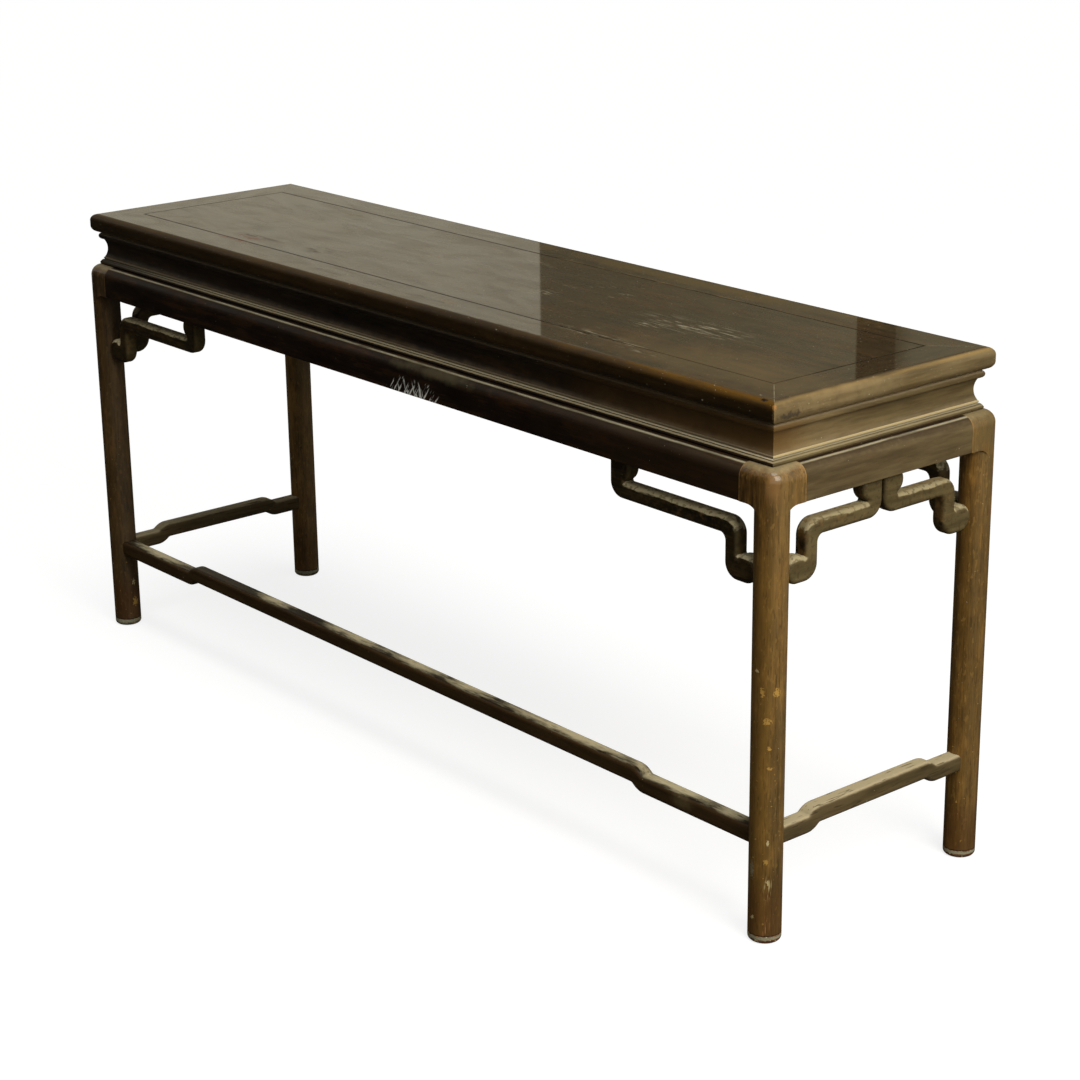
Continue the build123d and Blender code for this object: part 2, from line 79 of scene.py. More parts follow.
class Bench:
    """The node tree of one material, or of the world, while it is being made."""

    def __init__(self, owner: Owner) -> None:
        """Starts an empty tree.

        Args:
            owner: the material or the world.
        """
        owner.use_nodes = True
        self.owner = owner
        self.tree = owner.node_tree
        self.tree.nodes.clear()
        where = self.node("ShaderNodeTexCoord")
        self.place = where.outputs["Object"]
        self.facing = where.outputs["Normal"]
        self.level = self.part(self.facing, Axis.HEIGHT)

    def node(self, kind: str, feeds: dict[int | str, Feed] | None = None, **settings: object) -> bpy.types.Node:
        """Adds a node.

        Args:
            kind: Blender's name for the kind of node.
            feeds: what goes into its sockets, by index or name.
            settings: the node's own settings.

        Returns:
            The node.
        """
        made = self.tree.nodes.new(kind)
        for name, value in settings.items():
            setattr(made, name, value)
        for key, value in (feeds or {}).items():
            self.feed(made.inputs[key], value)
        return made

    def feed(self, socket: Socket, value: Feed) -> None:
        """Links a socket to another one's output, or sets its own value.

        Args:
            socket: the input socket.
            value: an output socket, a number or a colour.
        """
        if isinstance(value, Socket):
            self.tree.links.new(value, socket)
        elif isinstance(value, tuple) and socket.type == "RGBA":
            socket.default_value = (*value, 1.0)
        else:
            socket.default_value = value

    def number(self, operation: str, first: Feed, second: Feed = 0.0) -> Socket:
        """One step of arithmetic, by Blender's name for it."""
        return self.node("ShaderNodeMath", {0: first, 1: second}, operation=operation).outputs[0]

    def vector(self, operation: str, first: Feed, second: Feed = (0.0, 0.0, 0.0)) -> Socket:
        """One step of vector arithmetic, a number for a dot product or a length."""
        made = self.node("ShaderNodeVectorMath", {0: first, 1: second}, operation=operation)
        return made.outputs["Value" if operation in ("DOT_PRODUCT", "LENGTH") else "Vector"]

    def part(self, vector: Socket, axis: Axis) -> Socket:
        """One part of a vector, X, Y or Z."""
        return self.node("ShaderNodeSeparateXYZ", {0: vector}).outputs[axis.value]

    def rise(self, value: Feed, low: float, high: float) -> Socket:
        """A smooth step up, 0 below low and 1 above high."""
        feeds = {"Value": value, "From Min": low, "From Max": high}
        return self.node("ShaderNodeMapRange", feeds, interpolation_type="SMOOTHSTEP").outputs["Result"]

    def fall(self, value: Feed, low: float, high: float) -> Socket:
        """A smooth step down, 1 below low and 0 above high."""
        return self.number("SUBTRACT", 1.0, self.rise(value, low, high))

    def spread(self, value: Feed, low: float, high: float) -> Socket:
        """A number from 0 to 1 turned into one from low to high."""
        return self.node("ShaderNodeMapRange", {"Value": value, "To Min": low, "To Max": high}).outputs["Result"]

    def times(self, *values: Feed) -> Socket:
        """The product of several numbers."""
        return reduce(lambda product, value: self.number("MULTIPLY", product, value), values)

    def total(self, *values: Feed) -> Socket:
        """The sum of several numbers."""
        return reduce(lambda found, value: self.number("ADD", found, value), values)

    def mix(self, share: Feed, first: Feed, second: Feed) -> Socket:
        """A colour between two, the second where share is 1."""
        feeds = {0: share, 6: first, 7: second}
        return self.node("ShaderNodeMix", feeds, data_type="RGBA").outputs[2]

    def blend(self, share: Feed, first: Feed, second: Feed) -> Socket:
        """A number between two, the second where share is 1."""
        return self.node("ShaderNodeMix", {0: share, 2: first, 3: second}, data_type="FLOAT").outputs[0]

    def noise(self, place: Socket, detail: float = 3.0, roughness: float = 0.5, twist: float = 0.0) -> Socket:
        """Cloudy noise about one unit across, from 0 to 1 and mostly near a half."""
        feeds = {"Vector": place, "Scale": 1.0, "Detail": detail, "Roughness": roughness, "Distortion": twist}
        return self.node("ShaderNodeTexNoise", feeds).outputs["Fac"]

    def wander(self, place: Socket, reach: float, detail: float = 4.0) -> Socket:
        """Noise that strays up to about one reach to either side of 0."""
        cloud = self.noise(place, detail=detail, roughness=0.6)
        return self.times(self.number("SUBTRACT", cloud, 0.5), reach * 2)

    def cells(self, size: float, shift: float = 0.0) -> Socket:
        """The place measured in cells of one size, moved along by shift so that patterns differ."""
        return self.vector("ADD", self.vector("MULTIPLY", self.place, (1 / size,) * 3), (shift, shift * 1.7, -shift))

    def strands(self, axis: Axis, width: float, length: float, shift: float = 0.0, lean: float = 0.0) -> Socket:
        """The place measured in strands that lie along one axis.

        Args:
            axis: the way the strands lie.
            width: how wide one is.
            length: how long one is.
            shift: moves the pattern along, so that pieces differ.
            lean: how far the strands move along the table's length for each metre that they rise.

        Returns:
            The place as a vector.
        """
        scale = tuple(1 / (length if a is axis else width) for a in Axis)
        place = self.place
        if lean:
            sideways = self.node("ShaderNodeCombineXYZ", {0: self.times(self.part(place, Axis.HEIGHT), -lean)})
            place = self.vector("ADD", place, sideways.outputs[0])
        return self.vector("ADD", self.vector("MULTIPLY", place, scale), (shift, -shift * 1.3, shift * 0.7))

    def show(self, shader: bpy.types.Node) -> Owner:
        """Ends the tree with what the surface or the world shows.

        Args:
            shader: the last shader.

        Returns:
            The tree's owner.
        """
        kind = "World" if isinstance(self.owner, bpy.types.World) else "Material"
        self.node(f"ShaderNodeOutput{kind}", {"Surface": shader.outputs[0]})
        return self.owner


@dataclass(frozen=True)
class Region:
    """A soft-edged lump of space that limits where a mark is.

    Attributes:
        centre: its middle.
        reach: how far it goes each way.
        soft: the share of the reach over which it fades out.
    """

    centre: Point
    reach: Point
    soft: float = 0.5

    def inside(self, bench: Bench, wander: Feed = 0.0) -> Socket:
        """How far inside it the surface is.

        Args:
            bench: the material being made.
            wander: a number that pushes its edge in or out.

        Returns:
            1 inside and 0 outside.
        """
        away = bench.vector("SUBTRACT", bench.place, self.centre)
        scaled = bench.vector("MULTIPLY", away, tuple(1 / r for r in self.reach))
        distance = bench.number("ADD", bench.vector("LENGTH", scaled), wander)
        return bench.fall(distance, 1 - self.soft, 1.0)


@dataclass(frozen=True, kw_only=True)
class Layer:
    """Something that lies on the lacquer or has been done to it, or light or shade painted into its colour.

    Attributes:
        colour: its colour.
        strength: how much of it shows, up to 1.
        roughness: how matt it is.
        polish: how much clear gloss is left over it.
        relief: how far it stands proud, below 0 where it is cut in.
        region: where it is, or everywhere.
    """

    colour: Colour
    strength: float = 1.0
    roughness: float = 0.75
    polish: float = 0.0
    relief: float = 0.0
    region: Region | None = None

    def cover(self, bench: Bench) -> Socket:
        """Where the layer lies, 0 to 1."""
        raise NotImplementedError

    def within(self, bench: Bench, cover: Socket, wander: Feed = 0.0) -> Socket:
        """The part of a cover that is in the layer's region, whose edge wander pushes in or out."""
        return bench.times(cover, self.region.inside(bench, wander)) if self.region else cover


@dataclass(frozen=True, kw_only=True)
class Dust(Layer):
    """Dust that has settled on whatever faces up, with a ragged edge.

    Attributes:
        tilt: the upward part of the surface's normal at the edge of the dust.
        soft: how gently the edge fades.
        ragged: how far the edge wanders.
        patch: the size of its patches.
        along: the way its patches are drawn out, if any.
    """

    tilt: float = 0.5
    soft: float = 0.2
    ragged: float = 0.5
    patch: float = 0.03
    along: Axis | None = None

    def cover(self, bench: Bench) -> Socket:
        """Where the dust lies.

        Args:
            bench: the material being made.

        Returns:
            1 where it is and 0 elsewhere.
        """
        place = bench.strands(self.along, self.patch, 5 * self.patch) if self.along else bench.cells(self.patch, 3.1)
        ragged = bench.wander(place, self.ragged, detail=5.0)
        found = bench.rise(bench.number("ADD", bench.level, ragged), self.tilt - self.soft, self.tilt + self.soft)
        return self.within(bench, found, ragged)


@dataclass(frozen=True, kw_only=True)
class EdgeWearAndSheen(Layer):
    """A band along an edge that turns from level to upright, used for worn lacquer, dust, and painted sheen and
    highlights.

    Attributes:
        tilt_low: the least upward part of the normal that the band covers.
        tilt_peak: the upward part of the normal where the band is strongest.
        tilt_high: the most upward part of the normal that the band covers.
        along: the way the edge runs.
        start: where along the edge the band begins to show.
        end: where it is at its strongest.
        faint: the strength before its start.
    """

    tilt_low: float
    tilt_peak: float
    tilt_high: float
    along: Axis
    start: float
    end: float
    faint: float = 0.2

    def cover(self, bench: Bench) -> Socket:
        """Where the band lies.

        Args:
            bench: the material being made.

        Returns:
            1 where it is and 0 elsewhere.
        """
        band = bench.times(
            bench.rise(bench.level, self.tilt_low, self.tilt_peak),
            bench.fall(bench.level, self.tilt_peak, self.tilt_high),
        )
        run = bench.spread(bench.rise(bench.part(bench.place, self.along), self.start, self.end), self.faint, 1.0)
        uneven = bench.noise(bench.strands(self.along, 0.01, 0.08, 5.0), detail=4.0, roughness=0.6)
        return bench.times(band, run, bench.rise(uneven, 0.25, 0.6))


@dataclass(frozen=True, kw_only=True)
class FilmAndSideLight(Layer):
    """A tint on the side that faces one way, used for thin films and for light and shade painted on a side.

    Attributes:
        towards: the way that side faces.
        low: how far the surface must face that way before the tint starts.
        high: how far it must face that way for the whole tint.
        along: the way its streaks lie.
    """

    towards: Point = RIGHT
    low: float = 0.3
    high: float = 0.9
    along: Axis = Axis.DEPTH

    def cover(self, bench: Bench) -> Socket:
        """Where the tint lies.

        Args:
            bench: the material being made.

        Returns:
            1 where it is and 0 elsewhere.
        """
        turned = bench.rise(bench.vector("DOT_PRODUCT", bench.facing, self.towards), self.low, self.high)
        cloud = bench.noise(bench.strands(self.along, 0.012, 0.12, 11.0), detail=5.0, roughness=0.6)
        return self.within(bench, bench.times(turned, bench.spread(bench.rise(cloud, 0.3, 0.7), 0.45, 1.0)))


@dataclass(frozen=True, kw_only=True)
class Streaks(Layer):
    """Short scratches that lie one way.

    Attributes:
        along: the way they lie.
        width: how wide one is.
        length: how long one is.
        share: the share of the surface without any, nearer to 1 for fewer.
        shift: moves the pattern, so that pieces differ.
        lean: how far they move along the table's length for each metre that they rise.
    """

    along: Axis
    width: float
    length: float
    share: float = 0.66
    shift: float = 0.0
    lean: float = 0.0

    def cover(self, bench: Bench) -> Socket:
        """Where the scratches are, 0 to 1."""
        place = bench.strands(self.along, self.width, self.length, self.shift, self.lean)
        return self.within(bench, bench.rise(bench.noise(place, detail=2.0), self.share, self.share + 0.08))


@dataclass(frozen=True, kw_only=True)
class Specks(Layer):
    """Small round chips, specks or knocks.

    Attributes:
        size: how large one is.
        share: the share of the surface without any, nearer to 1 for fewer.
        shift: moves the pattern, so that pieces differ.
    """

    size: float
    share: float = 0.72
    shift: float = 0.0

    def cover(self, bench: Bench) -> Socket:
        """Where the specks are, 0 to 1."""
        lumps = bench.noise(bench.cells(self.size, self.shift), detail=2.0, roughness=0.4)
        return self.within(bench, bench.rise(lumps, self.share, self.share + 0.03))


@dataclass(frozen=True, kw_only=True)
class Patch(Layer):
    """One stain, chip, scuff or spot of painted light, with a broken edge, which fills its region.

    Attributes:
        ragged: how broken its edge is.
        patch: the size of the breaks.
    """

    ragged: float = 0.5
    patch: float = 0.01

    def cover(self, bench: Bench) -> Socket:
        """Where the patch is, 0 to 1."""
        return self.region.inside(bench, bench.wander(bench.cells(self.patch, 2.2), self.ragged))


@dataclass(frozen=True, kw_only=True)
class Band(Layer):
    """A stretch between two places along one axis, such as a worn rim.

    Attributes:
        axis: the axis it is measured along.
        low: where it starts.
        high: where it ends.
        soft: the length over which each end fades.
        ragged: how far its ends wander.
        patch: the size of the breaks.
    """

    axis: Axis
    low: float
    high: float
    soft: float = 0.001
    ragged: float = 0.0
    patch: float = 0.006

    def cover(self, bench: Bench) -> Socket:
        """Where the band is.

        Args:
            bench: the material being made.

        Returns:
            1 where it is and 0 elsewhere.
        """
        moved = bench.wander(bench.cells(self.patch, 4.6), self.ragged)
        along = bench.number("ADD", bench.part(bench.place, self.axis), moved)
        found = bench.times(
            bench.rise(along, self.low - self.soft, self.low + self.soft),
            bench.fall(along, self.high - self.soft, self.high + self.soft),
        )
        return self.within(bench, found)


@dataclass(frozen=True, kw_only=True)
class Seam(Layer):
    """A joint line where a plane cuts the surface, the same in all four quarters of the table.

    Attributes:
        normal: the way the plane faces, in the quarter where X and Y are above 0.
        offset: how far from the origin it is.
        width: how wide the line is.
        upright: whether upright faces show it too.
    """

    normal: Point
    offset: float
    width: float = 0.0008
    upright: bool = False

    def cover(self, bench: Bench) -> Socket:
        """Where the line is.

        Args:
            bench: the material being made.

        Returns:
            1 where it is and 0 elsewhere.
        """
        folded = bench.vector("ABSOLUTE", bench.place)
        across = bench.vector("DOT_PRODUCT", folded, tuple(Vector(self.normal).normalized()))
        away = bench.number("ABSOLUTE", bench.number("SUBTRACT", across, self.offset))
        broken = bench.noise(bench.cells(0.012, 6.4), detail=3.0)
        line = bench.times(bench.fall(away, self.width / 2, self.width), bench.rise(broken, 0.3, 0.55))
        return line if self.upright else bench.times(line, bench.rise(bench.level, 0.9, 0.98))


@dataclass(frozen=True, kw_only=True)
class Joint(Layer):
    """The line of a rectangular joint in a level surface, round the middle of the table.

    Attributes:
        half_length: half the rectangle's length.
        half_depth: half its depth.
        width: how wide the line is.
    """

    half_length: float
    half_depth: float
    width: float = 0.0022

    def cover(self, bench: Bench) -> Socket:
        """Where the line is.

        Args:
            bench: the material being made.

        Returns:
            1 where it is and 0 elsewhere.
        """
        folded = bench.vector("ABSOLUTE", bench.place)
        beyond = bench.vector("SUBTRACT", folded, (self.half_length, self.half_depth, 0.0))
        edge = bench.number("MAXIMUM", bench.part(beyond, Axis.LENGTH), bench.part(beyond, Axis.DEPTH))
        line = bench.fall(bench.number("ABSOLUTE", edge), self.width / 2, self.width)
        return bench.times(line, bench.rise(bench.level, 0.9, 0.98))


@dataclass(frozen=True)
class Tone:
    """The three browns of one piece.

    Attributes:
        dark: the colour between the fibres.
        body: the usual colour.
        warm: the colour where the lacquer is thin.
    """

    dark: Colour
    body: Colour
    warm: Colour


# The width and length of the grain's own patterns, and the size of the cloudy unevenness.
BROAD_GRAIN = (0.016, 0.30)
FINE_GRAIN = (0.0022, 0.05)
MOTTLE = (0.012, 0.045)
PORES = (0.0009, 0.014)
SMEARS = (0.045, 0.13)
CLOUD = 0.11


@dataclass(frozen=True, kw_only=True)
class Lacquer:
    """Dark lacquer over straight-grained wood, with what lies on it and the light and shade painted on it.

    Attributes:
        tone: its browns.
        grain: the way the wood's grain runs.
        polish: the clear gloss on upright faces.
        top_polish: the clear gloss on level faces.
        gloss_blur: how blurred that gloss is.
        roughness: how matt the lacquer is under it.
        sheen: how strongly the lacquer itself reflects.
        depth: how deep the grain is cut.
        smears: the share of the gloss that smears take away.
        layers: what lies on it and the light and shade painted on it, the lowest first.
    """

    tone: Tone
    grain: Axis
    polish: float = 0.1
    top_polish: float = 0.1
    gloss_blur: float = 0.2
    roughness: float = 0.45
    sheen: float = 0.15
    depth: float = 0.00006
    smears: float = 0.2
    layers: tuple[Layer, ...] = ()

    def make(self, name: str, shift: float = 0.0) -> bpy.types.Material:
        """Builds the material.

        Args:
            name: its name.
            shift: moves its grain, so that pieces differ.

        Returns:
            The material.
        """
        bench = Bench(bpy.data.materials.new(name))
        broad = bench.noise(bench.strands(self.grain, *BROAD_GRAIN, shift), detail=4.0, roughness=0.6, twist=0.6)
        fine = bench.noise(bench.strands(self.grain, *FINE_GRAIN, shift), detail=3.0, roughness=0.6)
        mottle = bench.noise(bench.strands(self.grain, *MOTTLE, shift), detail=5.0, roughness=0.65)
        pores = bench.rise(bench.noise(bench.strands(self.grain, *PORES, shift), detail=1.0), 0.6, 0.72)
        cloud = bench.noise(bench.cells(CLOUD, shift), detail=4.0, roughness=0.6)
        smears = bench.noise(bench.strands(self.grain, *SMEARS, shift), detail=4.0, roughness=0.55, twist=1.0)
        tone = bench.total(
            bench.times(broad, 0.3), bench.times(fine, 0.2), bench.times(mottle, 0.3), bench.times(cloud, 0.2)
        )
        colour = bench.mix(bench.rise(tone, 0.38, 0.5), self.tone.dark, self.tone.body)
        colour = bench.mix(bench.rise(tone, 0.48, 0.61), colour, self.tone.warm)
        colour = bench.mix(bench.times(pores, 0.45), colour, self.tone.dark)
        roughness = bench.spread(bench.rise(cloud, 0.3, 0.7), self.roughness - 0.07, self.roughness + 0.07)
        polish = bench.blend(bench.rise(bench.level, 0.975, 0.999), self.polish, self.top_polish)
        polish = bench.times(polish, bench.spread(bench.rise(smears, 0.3, 0.62), 1.0 - self.smears, 1.0))
        height = bench.times(bench.number("SUBTRACT", fine, bench.times(pores, 0.7)), self.depth)
        for layer in self.layers:
            cover = bench.times(layer.cover(bench), layer.strength)
            colour = bench.mix(cover, colour, layer.colour)
            roughness = bench.blend(cover, roughness, layer.roughness)
            polish = bench.blend(cover, polish, layer.polish)
            if layer.relief:
                height = bench.number("ADD", height, bench.times(cover, layer.relief))
        normal = bench.node("ShaderNodeBump", {"Height": height, "Distance": 1.0, "Strength": 1.0}).outputs[0]
        wood = bench.node(
            "ShaderNodeBsdfPrincipled",
            {
                "Base Color": colour,
                "Roughness": roughness,
                "Specular IOR Level": self.sheen,
                "Coat Weight": polish,
                "Coat Roughness": self.gloss_blur,
                "Normal": normal,
            },
        )
        return bench.show(wood)


def dress(node: str, finish: Lacquer, shift: float) -> None:
    """Gives one wooden piece its finish.

    Args:
        node: the piece's name.
        finish: its finish.
        shift: moves the grain, so that pieces differ.
    """
    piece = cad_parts[node]
    material = finish.make(f"{node}_finish", shift)
    for slot in piece.material_slots:
        slot.material = material
    log.info("dressed %s", node)


DUST = paint(156, 144, 112)
PALE_DUST = paint(214, 200, 160)
GREASE = paint(96, 88, 64)
BARE_WOOD = paint(184, 144, 72)
SCRATCH = paint(178, 168, 140)


def side_axis(node: str) -> Axis:
    """The way a member runs, from the side of the table that its name gives."""
    return Axis.LENGTH if node.endswith(("front", "back")) else Axis.DEPTH


@dataclass
class Tabletop:
    """The framed top: four mitred members, a floating panel and its battens.

    Attributes:
        half_length: half the length over the slab.
        half_depth: half the depth over the slab.
        surface: the height of the top.
        lip: the height of the slab's lower edge.
        opening_x: half the length of the frame's opening.
        opening_y: half the depth of the frame's opening.
        seam: the gap between the frame and the panel.
        tone: the browns of the lacquer.
        long_edge_wear_and_highlight: the colour of the long edges, worn lacquer with a painted highlight.
        end_colour: the colour of the short edges, worn lacquer with a painted highlight.
    """

    half_length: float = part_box("top_frame_front")[1].x
    half_depth: float = -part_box("top_frame_front")[0].y
    surface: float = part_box("top_panel")[1].z
    lip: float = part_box("top_frame_front")[0].z
    opening_x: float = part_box("top_frame_right")[0].x
    opening_y: float = -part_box("top_frame_front")[1].y
    seam: float = 0.001
    tone: Tone = Tone(paint(36, 27, 13), paint(51, 37, 17), paint(67, 48, 22))
    long_edge_wear_and_highlight: Colour = paint(90, 61, 6)
    end_colour: Colour = paint(142, 114, 66)

    def member_layers(self, node: str) -> tuple[Layer, ...]:
        """What lies on one frame member, and the light and shade painted on it.

        Args:
            node: the member's name.

        Returns:
            Its layers.
        """
        axis = side_axis(node)
        mitre = Seam(
            colour=SCRATCH, normal=(1, -1, 0), offset=(self.half_length - self.half_depth) / math.sqrt(2),
            width=0.0007, strength=0.45,
        )
        # Lighter tint on the right-facing side: a thin film together with painted light where the right end is lit.
        film_and_right_light = FilmAndSideLight(colour=paint(132, 115, 82), strength=0.62, low=0.05, high=0.7, polish=0.05)
        # Painted shade: the front-facing side darkened and dulled, as it faces away from the light.
        front_shade = FilmAndSideLight(colour=paint(24, 18, 13), towards=FRONT, strength=0.35, low=0.4, high=1.0, roughness=0.5)
        # The upper arrises: worn lacquer with a painted highlight, strongest towards the lit right end of the long
        # edges.
        if axis is Axis.LENGTH:
            edge_wear_and_highlight = EdgeWearAndSheen(
                colour=self.long_edge_wear_and_highlight, tilt_low=-0.1, tilt_peak=0.95, tilt_high=1.005, along=axis, start=0.3,
                end=0.8, faint=0.15, roughness=0.5,
            )
        else:
            edge_wear_and_highlight = EdgeWearAndSheen(
                colour=self.end_colour, tilt_low=0.4, tilt_peak=0.8, tilt_high=1.0, along=axis, start=-0.2,
                end=0.15, faint=0.5, roughness=0.4, polish=0.1, strength=0.6,
            )
        # Painted highlight: a pale line along the slab's lower lip.
        lip = Band(
            colour=paint(160, 144, 106), axis=Axis.HEIGHT, low=self.lip - 0.0006, high=self.lip + 0.0022, soft=0.0006,
            strength=0.45,
        )
        corner = (self.half_length - 0.001, 0.001 - self.half_depth, self.surface - 0.006)
        worn_corner = Patch(
            colour=paint(158, 112, 58), strength=0.8, patch=0.002, ragged=1.4,
            region=Region(corner, (0.005, 0.005, 0.006), 0.4),
        )
        worn_arris = Patch(
            colour=paint(118, 98, 64), strength=0.6, patch=0.002, ragged=1.4,
            region=Region((*corner[:2], self.surface - 0.02), (0.003, 0.003, 0.014), 0.4),
        )
        chip = Patch(
            colour=paint(16, 11, 7), patch=0.003, ragged=0.8, relief=-0.0003,
            region=Region((self.half_length - 0.026, 0.006 - self.half_depth, self.surface), (0.008, 0.004, 0.005)),
        )
        dull = Patch(
            colour=paint(26, 19, 10), strength=0.5, patch=0.02, ragged=0.6, roughness=0.5,
            region=Region((0.25, 0.005 - self.half_depth, self.surface - 0.004), (0.24, 0.014, 0.014), 0.7),
        )
        worn_end = Patch(
            colour=paint(150, 128, 92), strength=0.2, patch=0.02, ragged=1.3,
            region=Region((self.half_length, -0.10, self.surface - 0.012), (0.02, 0.13, 0.016), 0.8),
        )
        smudge = Patch(
            colour=paint(44, 40, 36), strength=0.7, patch=0.006, ragged=1.3,
            region=Region((self.half_length, 0.032 - self.half_depth, self.lip + 0.012), (0.008, 0.03, 0.007), 0.8),
        )
        knocks = Specks(colour=SCRATCH, size=0.0045, share=0.75, strength=0.7, shift=self.half_length)
        return (
            film_and_right_light, front_shade, dull, edge_wear_and_highlight, lip, worn_end, smudge, worn_corner, worn_arris, chip, knocks, mitre,
            *self.surface_layers(),
        )

    def spot(self, x: float, y: float, half_x: float, half_y: float, soft: float = 0.9) -> Region:
        """A place on the level top: its middle, half its length and depth, and how softly it ends."""
        return Region((x, y, self.surface), (half_x, half_y, 0.01), soft)

    def scuff(self, colour: Colour, x: float, y: float, half_x: float, half_y: float, share: float) -> Streaks:
        """A group of scratches on the level top: its middle, half its length and depth, and the share left clear."""
        region = self.spot(x, y, half_x, half_y, 0.8)
        return Streaks(
            colour=colour, along=Axis.LENGTH, width=0.0024, length=0.04, share=share, strength=0.65,
            shift=10 * (x + y), region=region,
        )

    def surface_layers(self) -> tuple[Layer, ...]:
        """Scratches, stains and scuffs on the level top.

        Returns:
            Their layers, the lowest first.
        """
        red, dark, pale, gold = paint(118, 60, 38), paint(30, 22, 14), paint(186, 176, 148), paint(116, 98, 62)
        return (
            Joint(
                colour=paint(12, 9, 6), half_length=self.opening_x - self.seam / 2,
                half_depth=self.opening_y - self.seam / 2, strength=0.9,
            ),
            Specks(colour=pale, size=0.0028, share=0.74, strength=0.6, shift=4.0),
            Specks(colour=paint(176, 130, 76), size=0.004, share=0.77, strength=0.6, shift=9.0),
            self.scuff(pale, 0.52, -0.012, 0.16, 0.05, 0.56),
            self.scuff(pale, 0.45, -0.05, 0.06, 0.03, 0.6),
            self.scuff(pale, 0.46, -0.152, 0.16, 0.018, 0.565),
            self.scuff(pale, 0.58, -0.172, 0.10, 0.010, 0.58),
            self.scuff(pale, 0.18, -0.035, 0.03, 0.035, 0.56),
            self.scuff(pale, 0.01, 0.10, 0.06, 0.02, 0.58),
            self.scuff(pale, 0.25, 0.03, 0.2, 0.12, 0.68),
            self.scuff(red, -0.52, -0.160, 0.08, 0.012, 0.48),
            self.scuff(red, -0.50, -0.130, 0.07, 0.02, 0.52),
            self.scuff(dark, -0.49, -0.118, 0.08, 0.012, 0.46),
            self.scuff(dark, -0.33, -0.105, 0.05, 0.03, 0.48),
            self.scuff(dark, -0.05, -0.19, 0.30, 0.012, 0.56),
            self.scuff(gold, 0.25, 0.158, 0.55, 0.004, 0.46),
            self.scuff(gold, -0.55, 0.125, 0.06, 0.02, 0.56),
            Patch(
                colour=paint(150, 124, 84), strength=0.35, patch=0.008, ragged=0.9,
                region=self.spot(0.129, -0.180, 0.03, 0.01),
            ),
            Patch(
                colour=paint(112, 92, 52), strength=0.35, patch=0.05, ragged=0.9,
                region=self.spot(0.30, 0.20, 0.62, 0.04),
            ),
            Patch(
                colour=paint(118, 100, 68), strength=0.3, patch=0.05, ragged=0.6,
                region=self.spot(0.70, -0.14, 0.35, 0.10),
            ),
        )

    def lacquer(self, axis: Axis, layers: tuple[Layer, ...]) -> Lacquer:
        """The polished lacquer of the top, by the way its grain runs and what lies on it."""
        return Lacquer(
            tone=self.tone, grain=axis, polish=0.05, top_polish=1.0,
            gloss_blur=0.03, roughness=0.4, sheen=0.1, depth=0.00002, smears=0.25, layers=layers,
        )

    def build(self) -> None:
        """Dresses the frame, the panel and the battens under it."""
        for shift, side in enumerate(SIDES):
            node = f"top_frame_{side}"
            dress(node, self.lacquer(side_axis(node), self.member_layers(node)), 4.0 * shift)
        dress("top_panel", self.lacquer(Axis.LENGTH, self.surface_layers()), 21.0)
        raw = Lacquer(
            tone=Tone(paint(60, 44, 28), paint(86, 66, 44), paint(108, 84, 56)), grain=Axis.DEPTH, roughness=0.75,
        )
        for count in range(1, 5):
            dress(f"panel_batten_{count}", raw, 30.0 + count)


